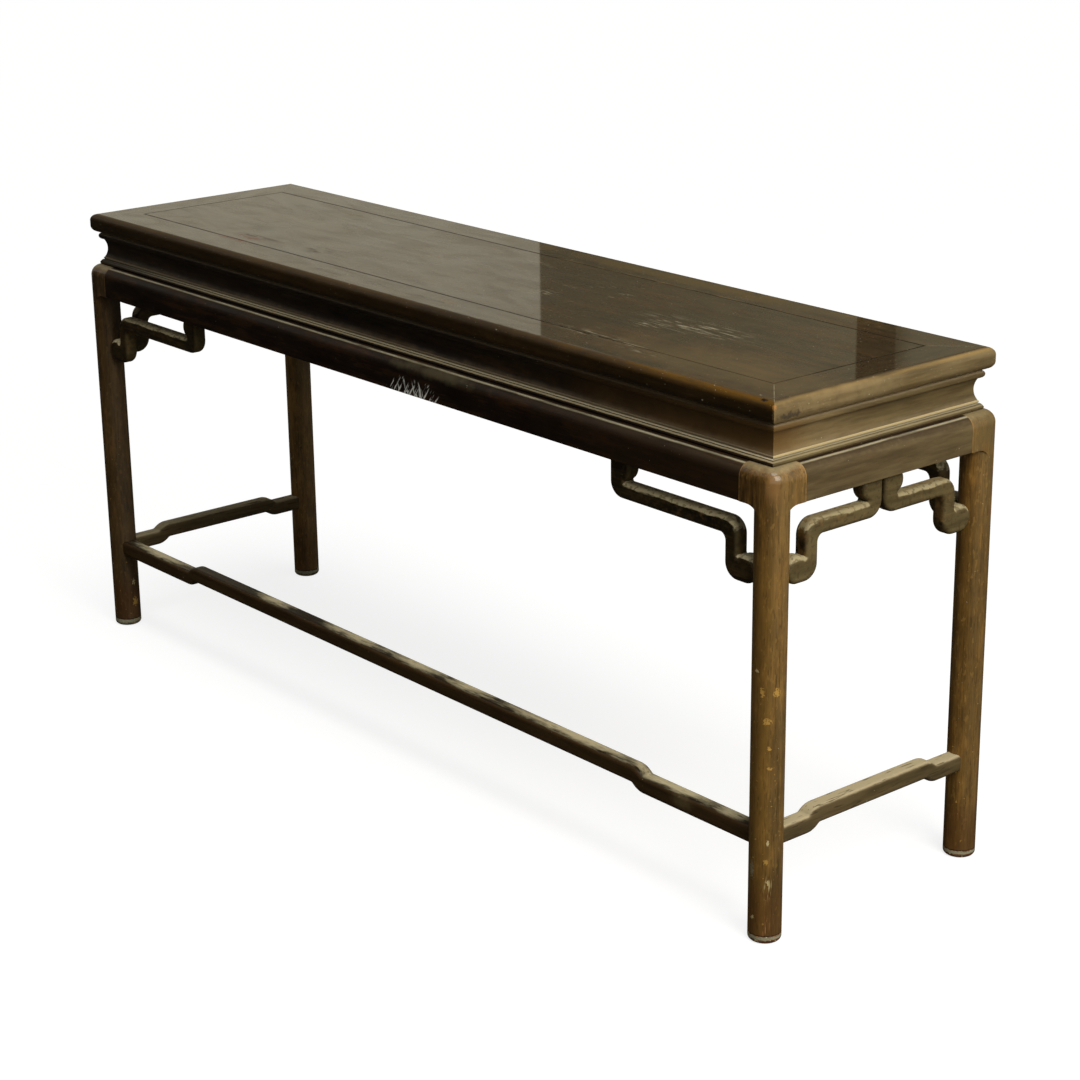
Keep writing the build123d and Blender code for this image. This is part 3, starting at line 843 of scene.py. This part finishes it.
@dataclass
class Waist:
    """The hollow waist under the slab and the reeded bead below it.

    Attributes:
        face: how far the front board stands from the table's middle.
        bottom: the height of the boards' lower edge, where the beads begin.
        tone: the browns of the lacquer.
        glow: the colour of the light painted on the stretch near the right end.
    """

    face: float = -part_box("waist_front")[0].y
    bottom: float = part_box("bead_front")[1].z
    tone: Tone = Tone(paint(20, 15, 10), paint(34, 25, 16), paint(56, 38, 21))
    glow: Colour = paint(94, 70, 38)

    def layers(self) -> tuple[Layer, ...]:
        """What lies on a waist board, and the light painted on it.

        Returns:
            Its layers.
        """
        return (
            # Lighter tint on the right-facing side: a thin film together with painted light.
            FilmAndSideLight(colour=paint(114, 98, 66), strength=0.75),
            # Painted light: the near part of the right end lightened, where the hollow lies in shade.
            FilmAndSideLight(
                colour=paint(150, 128, 92), strength=0.4,
                region=Region((0.9, -self.face, self.bottom + 0.025), (0.2, 0.28, 0.1), 0.8),
            ),
            # Painted light: a lighter, warmer stretch of the front towards the right end, for the light falling off
            # to the left.
            Patch(
                colour=self.glow, strength=0.95, patch=0.05, ragged=0.3,
                region=Region((1.0, -self.face, self.bottom + 0.025), (0.8, 0.1, 0.1), 0.9),
            ),
            Dust(colour=paint(134, 118, 94), tilt=0.5, soft=0.24, ragged=0.16, patch=0.03, strength=0.8),
            Specks(colour=SCRATCH, size=0.004, share=0.76, strength=0.6),
        )

    def bead_layers(self, axis: Axis) -> tuple[Layer, ...]:
        """What lies on a bead: two pale lines on its upper side, dust with a painted highlight,
        and a lighter tint with painted light on its right-facing side.

        Args:
            axis: the way the bead runs.

        Returns:
            Its layers.
        """
        pale, ridge = (0.85, paint(150, 134, 108)) if axis is Axis.LENGTH else (0.3, paint(206, 186, 142))
        lit = Region((0.35, 0.0, self.bottom), (1.3, 1.2, 0.5), 0.4)
        return (
            # Lighter tint on the right-facing side: a thin film together with painted light.
            FilmAndSideLight(colour=paint(112, 98, 66), strength=0.75),
            # Pale bands on the bead's upper side: dust with painted highlights; the two lower lines fade out towards
            # the left end.
            Band(
                colour=ridge, axis=Axis.HEIGHT, low=self.bottom - 0.0034, high=self.bottom + 0.001, soft=0.0004,
                strength=0.6,
            ),
            Band(
                colour=paint(206, 194, 162), axis=Axis.HEIGHT, low=self.bottom - 0.0053, high=self.bottom - 0.0037,
                soft=0.0003, ragged=0.0003, strength=pale, region=lit,
            ),
            Band(
                colour=paint(194, 178, 140), axis=Axis.HEIGHT, low=self.bottom - 0.0085, high=self.bottom - 0.0064,
                soft=0.0005, ragged=0.0006, strength=pale * 0.85, region=lit,
            ),
        )

    def build(self) -> None:
        """Dresses the waist boards and the beads."""
        for shift, side in enumerate(SIDES):
            axis = side_axis(side)
            for kind, layers in (("waist", self.layers()), ("bead", self.bead_layers(axis))):
                node = f"{kind}_{side}"
                finish = Lacquer(
                    tone=self.tone, grain=axis, polish=0.05, top_polish=0.0,
                    sheen=0.12, roughness=0.5, layers=layers,
                )
                dress(node, finish, 40.0 + 3.0 * shift)


@dataclass
class Aprons:
    """The four aprons between the leg heads.

    Attributes:
        top: the height of their upper edge.
        face: how far the long ones' faces stand from the table's middle.
        tone: the browns of the lacquer.
    """

    top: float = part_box("apron_front")[1].z
    face: float = -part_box("apron_front")[0].y
    tone: Tone = Tone(paint(18, 12, 8), paint(30, 20, 13), paint(54, 34, 18))

    def layers(self, axis: Axis) -> tuple[Layer, ...]:
        """What lies on an apron, and the light painted on it.

        Args:
            axis: the way the apron runs.

        Returns:
            Its layers.
        """
        return (
            # Lighter tint on the right-facing side: a thin film together with painted light.
            FilmAndSideLight(colour=paint(112, 97, 68), strength=0.75),
            # Painted light: a lighter brown near the right end of the long face, where the light is stronger.
            Patch(
                colour=paint(48, 34, 18), strength=0.5, patch=0.05, ragged=0.4,
                region=Region((0.8, -self.face, self.top - 0.03), (0.5, 0.05, 0.08), 0.9),
            ),
            # Painted sheen: a paler band on the rounded upper edge, growing towards the right end.
            EdgeWearAndSheen(
                colour=paint(62, 50, 36), tilt_low=0.2, tilt_peak=0.85, tilt_high=0.99, along=Axis.LENGTH, start=0.1,
                end=0.9, faint=0.1, roughness=0.6, strength=0.7,
            ),
            EdgeWearAndSheen(
                colour=paint(200, 190, 158), tilt_low=0.86, tilt_peak=0.945, tilt_high=0.99, along=axis, start=-1.0,
                end=-0.9, roughness=0.9, strength=0.66 if axis is Axis.LENGTH else 0.5,
            ),
            Patch(
                colour=GREASE, strength=0.42, patch=0.03, ragged=0.9,
                region=Region((0.16, -self.face, self.top - 0.006), (0.14, 0.03, 0.016), 0.9),
            ),
            *(
                Streaks(
                    colour=paint(236, 236, 230), along=Axis.HEIGHT, width=0.005, length=0.03, share=0.57,
                    shift=lean, lean=lean,
                    region=Region((middle, -self.face, self.top - 0.048), (0.045, 0.02, 0.024), 0.3),
                )
                for middle, lean in ((0.075, 0.7), (0.10, -0.3), (0.13, 0.8))
            ),
            Specks(colour=SCRATCH, size=0.0045, share=0.76, strength=0.6),
        )

    def build(self) -> None:
        """Dresses the aprons."""
        for shift, side in enumerate(SIDES):
            node = f"apron_{side}"
            finish = Lacquer(
                tone=self.tone, grain=side_axis(node), polish=0.035, top_polish=0.0,
                sheen=0.08, roughness=0.45, layers=self.layers(side_axis(node)),
            )
            dress(node, finish, 60.0 + 3.0 * shift)


@dataclass
class Legs:
    """The round legs with their square heads, and the turned pads under them.

    Attributes:
        centre_x: how far the legs stand from the middle along the length.
        centre_y: how far they stand from it across the depth.
        pad: the height of the pads.
        head: the height of the heads' tops.
        ear_x: how far from the middle the long aprons meet the heads.
        ear_y: how far from it the short ones do.
        tone: the browns of the lacquer.
        right_light: the factors, by channel, that make the right legs lighter, as painted light.
        front_left_light: the factors, by channel, that make the front left leg darker, as painted shade.
        back_left_light: the factors, by channel, that make the back left leg lighter, as painted light.
        chalky_pad: the browns of the left legs' pads.
        brown_pad: the browns of the right legs' pads.
    """

    centre_x: float = (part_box("foot_front_right")[0].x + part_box("foot_front_right")[1].x) / 2
    centre_y: float = -(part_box("foot_front_right")[0].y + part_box("foot_front_right")[1].y) / 2
    pad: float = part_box("leg_front_right")[0].z
    head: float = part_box("apron_front")[1].z
    ear_x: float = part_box("leg_front_right")[0].x
    ear_y: float = -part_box("leg_front_right")[1].y
    tone: Tone = Tone(paint(46, 33, 15), paint(84, 61, 29), paint(122, 90, 44))
    # Painted light and shade: one material for all legs, made lighter or darker per leg for how each is lit.
    right_light: Colour = (1.25, 1.22, 1.15)
    front_left_light: Colour = (0.74, 0.77, 1.05)
    back_left_light: Colour = (1.75, 1.8, 2.1)
    chalky_pad: Tone = Tone(paint(72, 64, 44), paint(126, 114, 86), paint(172, 160, 126))
    brown_pad: Tone = Tone(paint(52, 32, 18), paint(104, 66, 38), paint(146, 102, 66))

    def worn(self, node: str, colour: Colour) -> Colour:
        """A colour made lighter or darker for one leg, as painted light and shade for how that leg is lit.

        Args:
            node: the leg's name.
            colour: the colour on an average leg.

        Returns:
            The colour with that leg's painted light and shade.
        """
        lighting = self.right_light if node.endswith("right") else self.front_left_light
        if node == "leg_back_left":
            lighting = self.back_left_light
        return tuple(base * share for base, share in zip(colour, lighting))

    def chip(self, x: float, y: float, z: float, wide: float, tall: float, colour: Colour) -> Patch:
        """One chip in a leg's lacquer: its place, half its width and height, and what shows in it."""
        region = Region((x, y, z), (wide, wide, tall), 0.3)
        return Patch(colour=colour, region=region, ragged=2.2, patch=0.003, strength=0.8, relief=-0.0002)

    def scratches(self, x: float, y: float, z: float, tall: float, colour: Colour) -> Streaks:
        """A group of upright scratches in a leg's lacquer: its place, half its height, and what shows in it."""
        region = Region((x, y, z), (0.009, 0.009, tall), 0.6)
        return Streaks(
            colour=colour, along=Axis.HEIGHT, width=0.002, length=0.022, share=0.54, strength=0.7, shift=z * 40,
            region=region,
        )

    def chips(self, node: str) -> tuple[Layer, ...]:
        """The largest chips and scratches of one leg.

        Args:
            node: the leg's name.

        Returns:
            Their layers.
        """
        cream, grey = paint(206, 188, 140), paint(140, 134, 112)
        if node == "leg_front_right":
            return (
                self.chip(0.883, -0.239, 0.424, 0.0035, 0.003, cream),
                self.chip(0.906, -0.222, 0.394, 0.005, 0.006, BARE_WOOD),
                self.chip(0.892, -0.237, 0.393, 0.003, 0.008, BARE_WOOD),
                self.chip(0.899, -0.232, 0.350, 0.006, 0.005, BARE_WOOD),
                self.chip(0.902, -0.230, 0.309, 0.003, 0.004, BARE_WOOD),
                self.chip(0.902, -0.230, 0.278, 0.003, 0.003, BARE_WOOD),
                self.chip(0.902, -0.230, 0.162, 0.002, 0.004, cream),
                self.chip(0.900, -0.231, 0.133, 0.003, 0.004, BARE_WOOD),
                self.chip(0.902, -0.229, 0.100, 0.002, 0.004, cream),
                self.scratches(0.902, -0.229, 0.092, 0.024, paint(186, 168, 122)),
                self.scratches(0.900, -0.231, 0.030, 0.020, paint(176, 118, 78)),
                self.chip(0.879, -0.239, 0.117, 0.004, 0.012, grey),
                self.chip(0.881, -0.239, 0.042, 0.004, 0.003, cream),
            )
        if node == "leg_front_left":
            return (
                self.chip(-0.858, -0.210, 0.049, 0.006, 0.008, BARE_WOOD),
                self.chip(-0.858, -0.212, 0.089, 0.003, 0.006, cream),
            )
        return ()

    def layers(self, node: str) -> tuple[Layer, ...]:
        """What lies on one leg, and the light and highlight painted on it.

        Args:
            node: the leg's name.

        Returns:
            Its layers.
        """
        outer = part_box(node)[1]
        x, y = math.copysign(self.centre_x, outer.x), math.copysign(self.centre_y, outer.y)
        highlight_spot = (x + math.copysign(0.02, x), y + math.copysign(0.02, y), self.head - 0.024)
        ears = tuple(
            Seam(
                colour=paint(150, 114, 66), normal=normal, offset=offset + 0.0009, width=0.0013, upright=True,
                strength=0.5,
            )
            for normal, offset in (((1, 0, 0), self.ear_x), ((0, 1, 0), self.ear_y))
        )
        grime = Patch(
            colour=paint(98, 84, 54), strength=0.6, patch=0.02, ragged=0.5,
            region=Region((x, y, self.head - 0.02), (0.07, 0.07, 0.06), 0.7),
        )
        return (
            # Lighter tint on the right-facing side: a thin film together with painted light.
            FilmAndSideLight(
                colour=self.worn(node, paint(108, 91, 60)), towards=RIGHT, strength=0.5, low=0.35, high=1.0,
                along=Axis.HEIGHT, roughness=0.6, polish=0.1,
            ),
            # Painted light: the front-facing side of the shaft lightened, most on the front right leg.
            FilmAndSideLight(
                colour=self.worn(node, paint(114, 87, 41)), towards=FRONT,
                strength=0.75 if node == "leg_front_right" else 0.2, low=0.3, high=0.95, along=Axis.HEIGHT,
                roughness=0.5, polish=0.2,
                region=Region((x, y, 0.25), (0.3, 0.3, 0.4), 0.3),
            ),
            Streaks(
                colour=paint(58, 42, 20), along=Axis.HEIGHT, width=0.0028, length=0.02, share=0.6, strength=0.4,
                shift=x - y, polish=0.2,
            ),
            Streaks(
                colour=self.worn(node, paint(132, 104, 56)), along=Axis.HEIGHT, width=0.005, length=0.012, share=0.6,
                strength=0.35, shift=2 * y - x, polish=0.2,
            ),
            Dust(colour=DUST, tilt=0.8, soft=0.2, ragged=0.3, patch=0.02, strength=0.5),
            # A glossier spot on the head's outer corner, whose lighter colour is a painted highlight.
            Patch(
                colour=self.worn(node, paint(112, 84, 52)), strength=0.8, roughness=0.3, polish=1.0, patch=0.02,
                ragged=0.3, region=Region(highlight_spot, (0.018, 0.018, 0.03), 0.8),
            ),
            *((grime,) if node == "leg_back_right" else ()),
            *ears,
            Band(
                colour=paint(84, 50, 24), axis=Axis.HEIGHT, low=-0.01, high=0.09, soft=0.03, ragged=0.03, patch=0.02,
                strength=0.4, roughness=0.6,
            ),
            Band(
                colour=paint(14, 10, 6), axis=Axis.HEIGHT, low=self.pad - 0.001, high=self.pad + 0.0015, soft=0.0006,
                ragged=0.0005,
            ),
            Specks(
                colour=BARE_WOOD, size=0.006, share=0.73, strength=0.8, shift=x + 3 * y, relief=-0.0002,
                region=Region((x, y, 0.2), (0.1, 0.1, 0.3), 0.7),
            ),
            Specks(colour=SCRATCH, size=0.004, share=0.76, strength=0.6, shift=2 * x + y),
            *self.chips(node),
        )

    def build(self) -> None:
        """Dresses the legs and their pads."""
        for shift, corner in enumerate(CORNERS):
            leg = f"leg_{corner}"
            # Each leg's browns are a copy of the same tone made lighter or darker, as painted light and shade.
            finish = Lacquer(
                tone=Tone(*(self.worn(leg, colour) for colour in astuple(self.tone))), grain=Axis.HEIGHT,
                polish=0.42, top_polish=0.1, gloss_blur=0.12, sheen=0.12, roughness=0.42, layers=self.layers(leg),
            )
            dress(leg, finish, 80.0 + 5.0 * shift)
            pad = Lacquer(
                tone=self.chalky_pad if corner.endswith("left") else self.brown_pad, grain=Axis.HEIGHT,
                roughness=0.7, depth=0.0003,
                layers=(
                    Specks(colour=paint(190, 170, 132), size=0.005, share=0.62, shift=float(shift), relief=-0.0004),
                    Band(
                        colour=paint(156, 156, 132), axis=Axis.HEIGHT, low=self.pad - 0.0055, high=self.pad - 0.0012,
                        soft=0.0007, ragged=0.0018, strength=0.85,
                    ),
                ),
            )
            dress(f"foot_{corner}", pad, 90.0 + 5.0 * shift)


@dataclass
class Stretchers:
    """The long stretcher at the front and the two at the ends.

    Attributes:
        middle_y: where the long one runs.
        top: the height of its raised part.
        bottom: the height of its lower edge near the legs.
        dusty: the middle and half the length of each stretch of it that is dusty.
        tone: the browns of the lacquer.
    """

    middle_y: float = (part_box("stretcher_front")[0].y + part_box("stretcher_front")[1].y) / 2
    top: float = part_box("stretcher_front")[1].z
    bottom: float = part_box("stretcher_front")[0].z
    dusty: tuple[tuple[float, float], ...] = (
        (-0.74, 0.12), (-0.36, 0.07), (-0.12, 0.12), (0.06, 0.1), (0.20, 0.08), (0.46, 0.24), (0.70, 0.12),
        (0.81, 0.04),
    )
    tone: Tone = Tone(paint(20, 14, 8), paint(37, 27, 14), paint(64, 46, 24))

    def front_layers(self) -> tuple[Layer, ...]:
        """What lies on the long stretcher: stretches of dust, and scuffs on its face.

        Returns:
            Its layers.
        """
        drifts = tuple(
            Dust(
                colour=PALE_DUST, tilt=0.72, soft=0.16, ragged=0.8, patch=0.008, along=Axis.LENGTH, strength=0.85,
                region=Region((middle, self.middle_y + 0.004, self.top - 0.008), (half, 0.02, 0.035), 0.8),
            )
            for middle, half in self.dusty
        )
        scuffs = Streaks(
            colour=PALE_DUST, along=Axis.HEIGHT, width=0.003, length=0.01, share=0.52, strength=0.8, lean=0.8,
            region=Region((0.23, self.middle_y - 0.013, self.bottom + 0.005), (0.075, 0.01, 0.012)),
        )
        smudge = Patch(
            colour=paint(120, 106, 74), strength=0.45, ragged=0.4,
            region=Region((0.72, self.middle_y - 0.0135, self.bottom + 0.018), (0.03, 0.008, 0.016), 0.8),
        )
        brown = FilmAndSideLight(
            colour=paint(74, 54, 30), towards=FRONT, strength=0.85, low=0.2, high=0.9, along=Axis.LENGTH,
            roughness=0.5,
        )
        return brown, *drifts, scuffs, smudge

    def end_layers(self) -> tuple[Layer, ...]:
        """What lies on a short stretcher: a film of dust all over, a lighter tint with painted light on its
        right-facing side, and scuffs and a gouge in the right one.

        Returns:
            Its layers.
        """
        gouge = Patch(
            colour=paint(40, 30, 18), patch=0.004, ragged=0.4, relief=-0.001,
            region=Region((0.876, 0.167, self.top), (0.005, 0.014, 0.01)),
        )
        scuffs = Streaks(
            colour=paint(58, 46, 28), along=Axis.DEPTH, width=0.004, length=0.04, share=0.6, strength=0.7,
            shift=5.0,
        )
        worn_arris = EdgeWearAndSheen(
            colour=paint(70, 56, 36), tilt_low=0.2, tilt_peak=0.6, tilt_high=0.95, along=Axis.DEPTH, start=-1.0,
            end=-0.9, strength=0.45,
        )
        return (
            # Lighter tint on the right-facing side: a thin film together with painted light.
            FilmAndSideLight(colour=paint(108, 93, 64), strength=0.8),
            Dust(colour=paint(170, 156, 124), tilt=0.6, soft=0.25, ragged=0.2, patch=0.02, strength=0.9),
            worn_arris,
            scuffs,
            gouge,
        )

    def build(self) -> None:
        """Dresses the stretchers."""
        for shift, side in enumerate(("front", "left", "right")):
            node = f"stretcher_{side}"
            layers = self.front_layers() if side == "front" else self.end_layers()
            specks = Specks(colour=SCRATCH, size=0.004, share=0.75, strength=0.6)
            finish = Lacquer(
                tone=self.tone, grain=side_axis(node), sheen=0.1, roughness=0.5,
                layers=(*layers, specks),
            )
            dress(node, finish, 110.0 + 4.0 * shift)


@dataclass
class Brackets:
    """The scroll brackets under the aprons and the pegs that hold them.

    Attributes:
        tone: the browns of the lacquer.
    """

    tone: Tone = Tone(paint(26, 20, 11), paint(44, 35, 19), paint(72, 55, 30))

    def build(self) -> None:
        """Dresses the brackets and their pegs."""
        shift = 130.0
        # The long brackets take the paler dust colour: dust, brightened as painted light on tops that the aprons
        # shade.
        for length, axis, dust in (("long", Axis.LENGTH, PALE_DUST), ("short", Axis.DEPTH, DUST)):
            for corner in CORNERS:
                low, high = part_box(f"bracket_{length}_{corner}")
                middle = tuple((low + high) / 2)
                # Worn lacquer together with a painted brown highlight over the middle of each bracket.
                rubbed = Patch(
                    colour=paint(132, 100, 56), strength=0.4, patch=0.012, ragged=1.4,
                    region=Region(middle, tuple((high - low) * 0.55), 0.9),
                )
                layers = (
                    # Lighter tint on the right-facing side: a thin film together with painted light.
                    FilmAndSideLight(colour=paint(108, 95, 64), strength=0.7),
                    Dust(colour=dust, tilt=0.45, soft=0.14, ragged=0.75, patch=0.009, along=axis, strength=0.9),
                    Specks(colour=paint(66, 54, 36), size=0.007, share=0.58, strength=0.5, shift=shift),
                    rubbed,
                )
                finish = Lacquer(
                    tone=self.tone, grain=axis, polish=0.15, sheen=0.1,
                    roughness=0.45, layers=layers,
                )
                dress(f"bracket_{length}_{corner}", finish, shift)
                shift += 3.0
        pegs = Lacquer(
            tone=Tone(paint(110, 84, 54), paint(140, 110, 72), paint(160, 130, 90)), grain=Axis.HEIGHT, roughness=0.7,
        )
        dress("bracket_pegs", pegs, shift)


@dataclass(frozen=True)
class Flat:
    """A tall studio flat that only reflections show.

    Attributes:
        name: its name.
        start: the place of its first edge on the floor.
        end: the place of its other edge.
        height: how tall it is.
        colour: its colour.
        far_colour: its colour at its other edge, or the same.
    """

    name: str
    start: tuple[float, float]
    end: tuple[float, float]
    height: float
    colour: Colour
    far_colour: Colour | None = None


@dataclass
class Studio:
    """The camera, the lamps, the floor and the flats that the polished top reflects.

    Attributes:
        eye: where the camera stands.
        back: the way from the object to the camera.
        side: the camera's own right.
        lens: its focal length in millimetres.
        sensor: its sensor's width in millimetres.
        flat_distance: how far the flats stand from the camera.
        flat_height: how tall they are.
        floor_reach: half the floor's width.
        cloth_reach: half the width of the dark cloth that the uprights reflect.
        cloth_lift: how far it lies above the floor.
        above_strength: the strength of the soft light from above.
        end_power: the power of the soft box at the right end, in watts.
        end_size: how wide that box is.
        end_colour: its colour.
        fill: the strength of the light all round.
    """

    eye: Point = (3.183, -2.556, 1.720)
    back: Point = (0.7266, -0.6080, 0.3201)
    side: Point = (0.6448, 0.7642, -0.0120)
    lens: float = 83.29
    sensor: float = 36.0
    flat_distance: float = 9.0
    flat_height: float = 5.0
    floor_reach: float = 60.0
    cloth_reach: float = 6.0
    cloth_lift: float = 0.0005
    above_strength: float = 1.7
    end_power: float = 46.0
    end_size: float = 1.2
    end_colour: Colour = (1.0, 0.96, 0.84)
    fill: float = 0.17

    def camera(self) -> None:
        """Sets up the camera."""
        data = bpy.data.cameras.new("camera")
        data.lens = self.lens
        data.sensor_width = self.sensor
        data.clip_end = 200.0
        camera = bpy.data.objects.new("camera", data)
        back = Vector(self.back).normalized()
        up = back.cross(Vector(self.side)).normalized()
        side = up.cross(back)
        camera.matrix_world = Matrix.Translation(self.eye) @ Matrix((side, up, back)).transposed().to_4x4()
        bpy.context.scene.collection.objects.link(camera)
        bpy.context.scene.camera = camera

    def lamp(self, kind: str, name: str, azimuth: float, elevation: float, distance: float) -> bpy.types.Object:
        """Adds a lamp that points at the table.

        Args:
            kind: SUN or AREA.
            name: its name.
            azimuth: the compass angle it stands at, in degrees from the table's length.
            elevation: its angle above the floor, in degrees.
            distance: how far from the table's middle it stands.

        Returns:
            The lamp.
        """
        lamp = bpy.data.objects.new(name, bpy.data.lights.new(name, kind))
        flat, rise = math.radians(azimuth), math.radians(elevation)
        way = Vector((math.cos(flat) * math.cos(rise), math.sin(flat) * math.cos(rise), math.sin(rise)))
        lamp.location = way * distance + Vector((0.0, 0.0, 0.5))
        lamp.rotation_euler = way.to_track_quat("Z", "Y").to_euler()
        bpy.context.scene.collection.objects.link(lamp)
        return lamp

    def lamps(self) -> None:
        """Lights the table softly from its right end and from above."""
        above = self.lamp("SUN", "above", -20.0, 74.0, 5.0)
        above.data.energy = self.above_strength
        above.data.angle = math.radians(30.0)
        key = self.lamp("AREA", "end_box", -8.0, 27.0, 2.8)
        key.data.energy = self.end_power
        key.data.size = self.end_size
        key.data.color = self.end_colour
        key.visible_camera = False

    def seen(self, bench: Bench) -> Socket:
        """Tells what is looked at from light that bounces.

        Args:
            bench: the tree being made.

        Returns:
            1 for what the camera, a reflection or clear glass sees, and 0 for the rest.
        """
        path = bench.node("ShaderNodeLightPath").outputs
        found = bench.number("MAXIMUM", path["Is Camera Ray"], path["Is Glossy Ray"])
        return bench.number("MAXIMUM", found, path["Is Transmission Ray"])

    def sheet(self, name: str, corners: list[Point]) -> bpy.types.Object:
        """Makes one flat four-sided stage piece.

        Args:
            name: its name.
            corners: its corners in order.

        Returns:
            The stage piece.
        """
        mesh = bpy.data.meshes.new(name)
        mesh.from_pydata(corners, [], [(0, 1, 2, 3)])
        piece = bpy.data.objects.new(name, mesh)
        bpy.context.scene.collection.objects.link(piece)
        return piece

    def square(self, reach: float, height: float) -> list[Point]:
        """The corners of a level square round the table."""
        return [(-reach, -reach, height), (reach, -reach, height), (reach, reach, height), (-reach, reach, height)]

    def floor(self) -> None:
        """Lays the pale floor, which keeps the table's soft shadow."""
        floor = self.sheet("floor", self.square(self.floor_reach, 0.0))
        bench = Bench(bpy.data.materials.new("floor_paper"))
        bounce = bench.node("ShaderNodeBsdfDiffuse", {"Color": (0.12, 0.115, 0.1)})
        paper = bench.node("ShaderNodeBsdfDiffuse", {"Color": (0.9, 0.9, 0.9)})
        white = bench.node("ShaderNodeEmission", {"Color": (1.0, 1.0, 1.0), "Strength": 1.15})
        pale = bench.node("ShaderNodeMixShader", {0: 0.72, 1: paper.outputs[0], 2: white.outputs[0]})
        both = bench.node("ShaderNodeMixShader", {0: self.seen(bench), 1: bounce.outputs[0], 2: pale.outputs[0]})
        floor.data.materials.append(bench.show(both))

    def room(self) -> None:
        """Sets a plain soft light all round, pale where the camera or a reflection sees it."""
        world = bpy.data.worlds.new("room")
        bpy.context.scene.world = world
        bench = Bench(world)
        fill = bench.node("ShaderNodeBackground", {"Color": (1.0, 0.97, 0.9), "Strength": self.fill})
        pale = bench.node("ShaderNodeBackground", {"Color": (0.8, 0.8, 0.8), "Strength": 1.0})
        bench.show(bench.node("ShaderNodeMixShader", {0: self.seen(bench), 1: fill.outputs[0], 2: pale.outputs[0]}))

    def stand(self, angle: float) -> tuple[float, float]:
        """The place on the floor at an angle from the camera, at the flats' distance."""
        turn = math.radians(angle)
        return (
            self.eye[0] + self.flat_distance * math.cos(turn),
            self.eye[1] + self.flat_distance * math.sin(turn),
        )

    def flats(self) -> tuple[Flat, ...]:
        """The grey walls beyond the table, with a dark gap between two, and a black flag before its front.

        Returns:
            The flats, from left to right, and the flag.
        """
        bright, middle, gap, soft, last = 140.0, 132.6, 131.7, 131.3, 90.0
        tall = self.flat_height
        return (
            Flat("flat_left", self.stand(176.0), self.stand(bright), tall, (0.50, 0.465, 0.36)),
            Flat(
                "flat_middle", self.stand(bright), self.stand(middle), tall, (0.08, 0.07, 0.043),
                (0.215, 0.195, 0.127),
            ),
            Flat("flat_gap", self.stand(middle), self.stand(gap), tall, (0.0, 0.0, 0.0)),
            Flat("flat_soft", self.stand(gap), self.stand(soft), tall, (0.08, 0.07, 0.045), (0.22, 0.20, 0.13)),
            Flat("flat_right", self.stand(soft), self.stand(last), tall, (0.22, 0.20, 0.13)),
            Flat("flag_front", (-4.0, -1.1), (1.4, -1.1), 1.3, (0.01, 0.01, 0.01)),
        )

    def reflected(self, name: str, corners: list[Point], colour: Colour, far_colour: Colour | None = None) -> None:
        """Adds a plain coloured sheet that only reflections show.

        Args:
            name: its name.
            corners: its corners in order, the third and second at its far edge.
            colour: its colour.
            far_colour: its colour at the far edge, or the same.
        """
        piece = self.sheet(name, corners)
        bench = Bench(bpy.data.materials.new(name))
        shade: Feed = colour
        if far_colour:
            across = Vector(corners[1]) - Vector(corners[0])
            away = bench.vector("SUBTRACT", bench.place, tuple(corners[0]))
            share = bench.vector("DOT_PRODUCT", away, tuple(across / across.length_squared))
            shade = bench.mix(share, colour, far_colour)
        glow = bench.node("ShaderNodeEmission", {"Color": shade, "Strength": 1.0})
        piece.data.materials.append(bench.show(glow))
        piece.visible_camera = False
        piece.visible_diffuse = False
        piece.visible_shadow = False

    def set_flats(self) -> None:
        """Stands the flats round the table and lays a dark cloth under it."""
        for flat in self.flats():
            (x0, y0), (x1, y1) = flat.start, flat.end
            corners = [(x0, y0, 0.0), (x1, y1, 0.0), (x1, y1, flat.height), (x0, y0, flat.height)]
            self.reflected(flat.name, corners, flat.colour, flat.far_colour)
        self.reflected("dark_cloth", self.square(self.cloth_reach, self.cloth_lift), (0.05, 0.042, 0.026))

    def build(self) -> None:
        """Sets up the whole studio."""
        self.camera()
        self.lamps()
        self.room()
        self.floor()
        self.set_flats()
        view = bpy.context.scene.view_settings
        view.view_transform = "Standard"
        log.info("studio ready")


def main() -> None:
    """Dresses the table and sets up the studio."""
    logging.basicConfig(level=logging.INFO, format="%(name)s: %(message)s")
    for part in (Tabletop(), Waist(), Aprons(), Legs(), Stretchers(), Brackets(), Studio()):
        part.build()
        log.info("built %s", type(part).__name__)


if __name__ == "__main__":
    main()
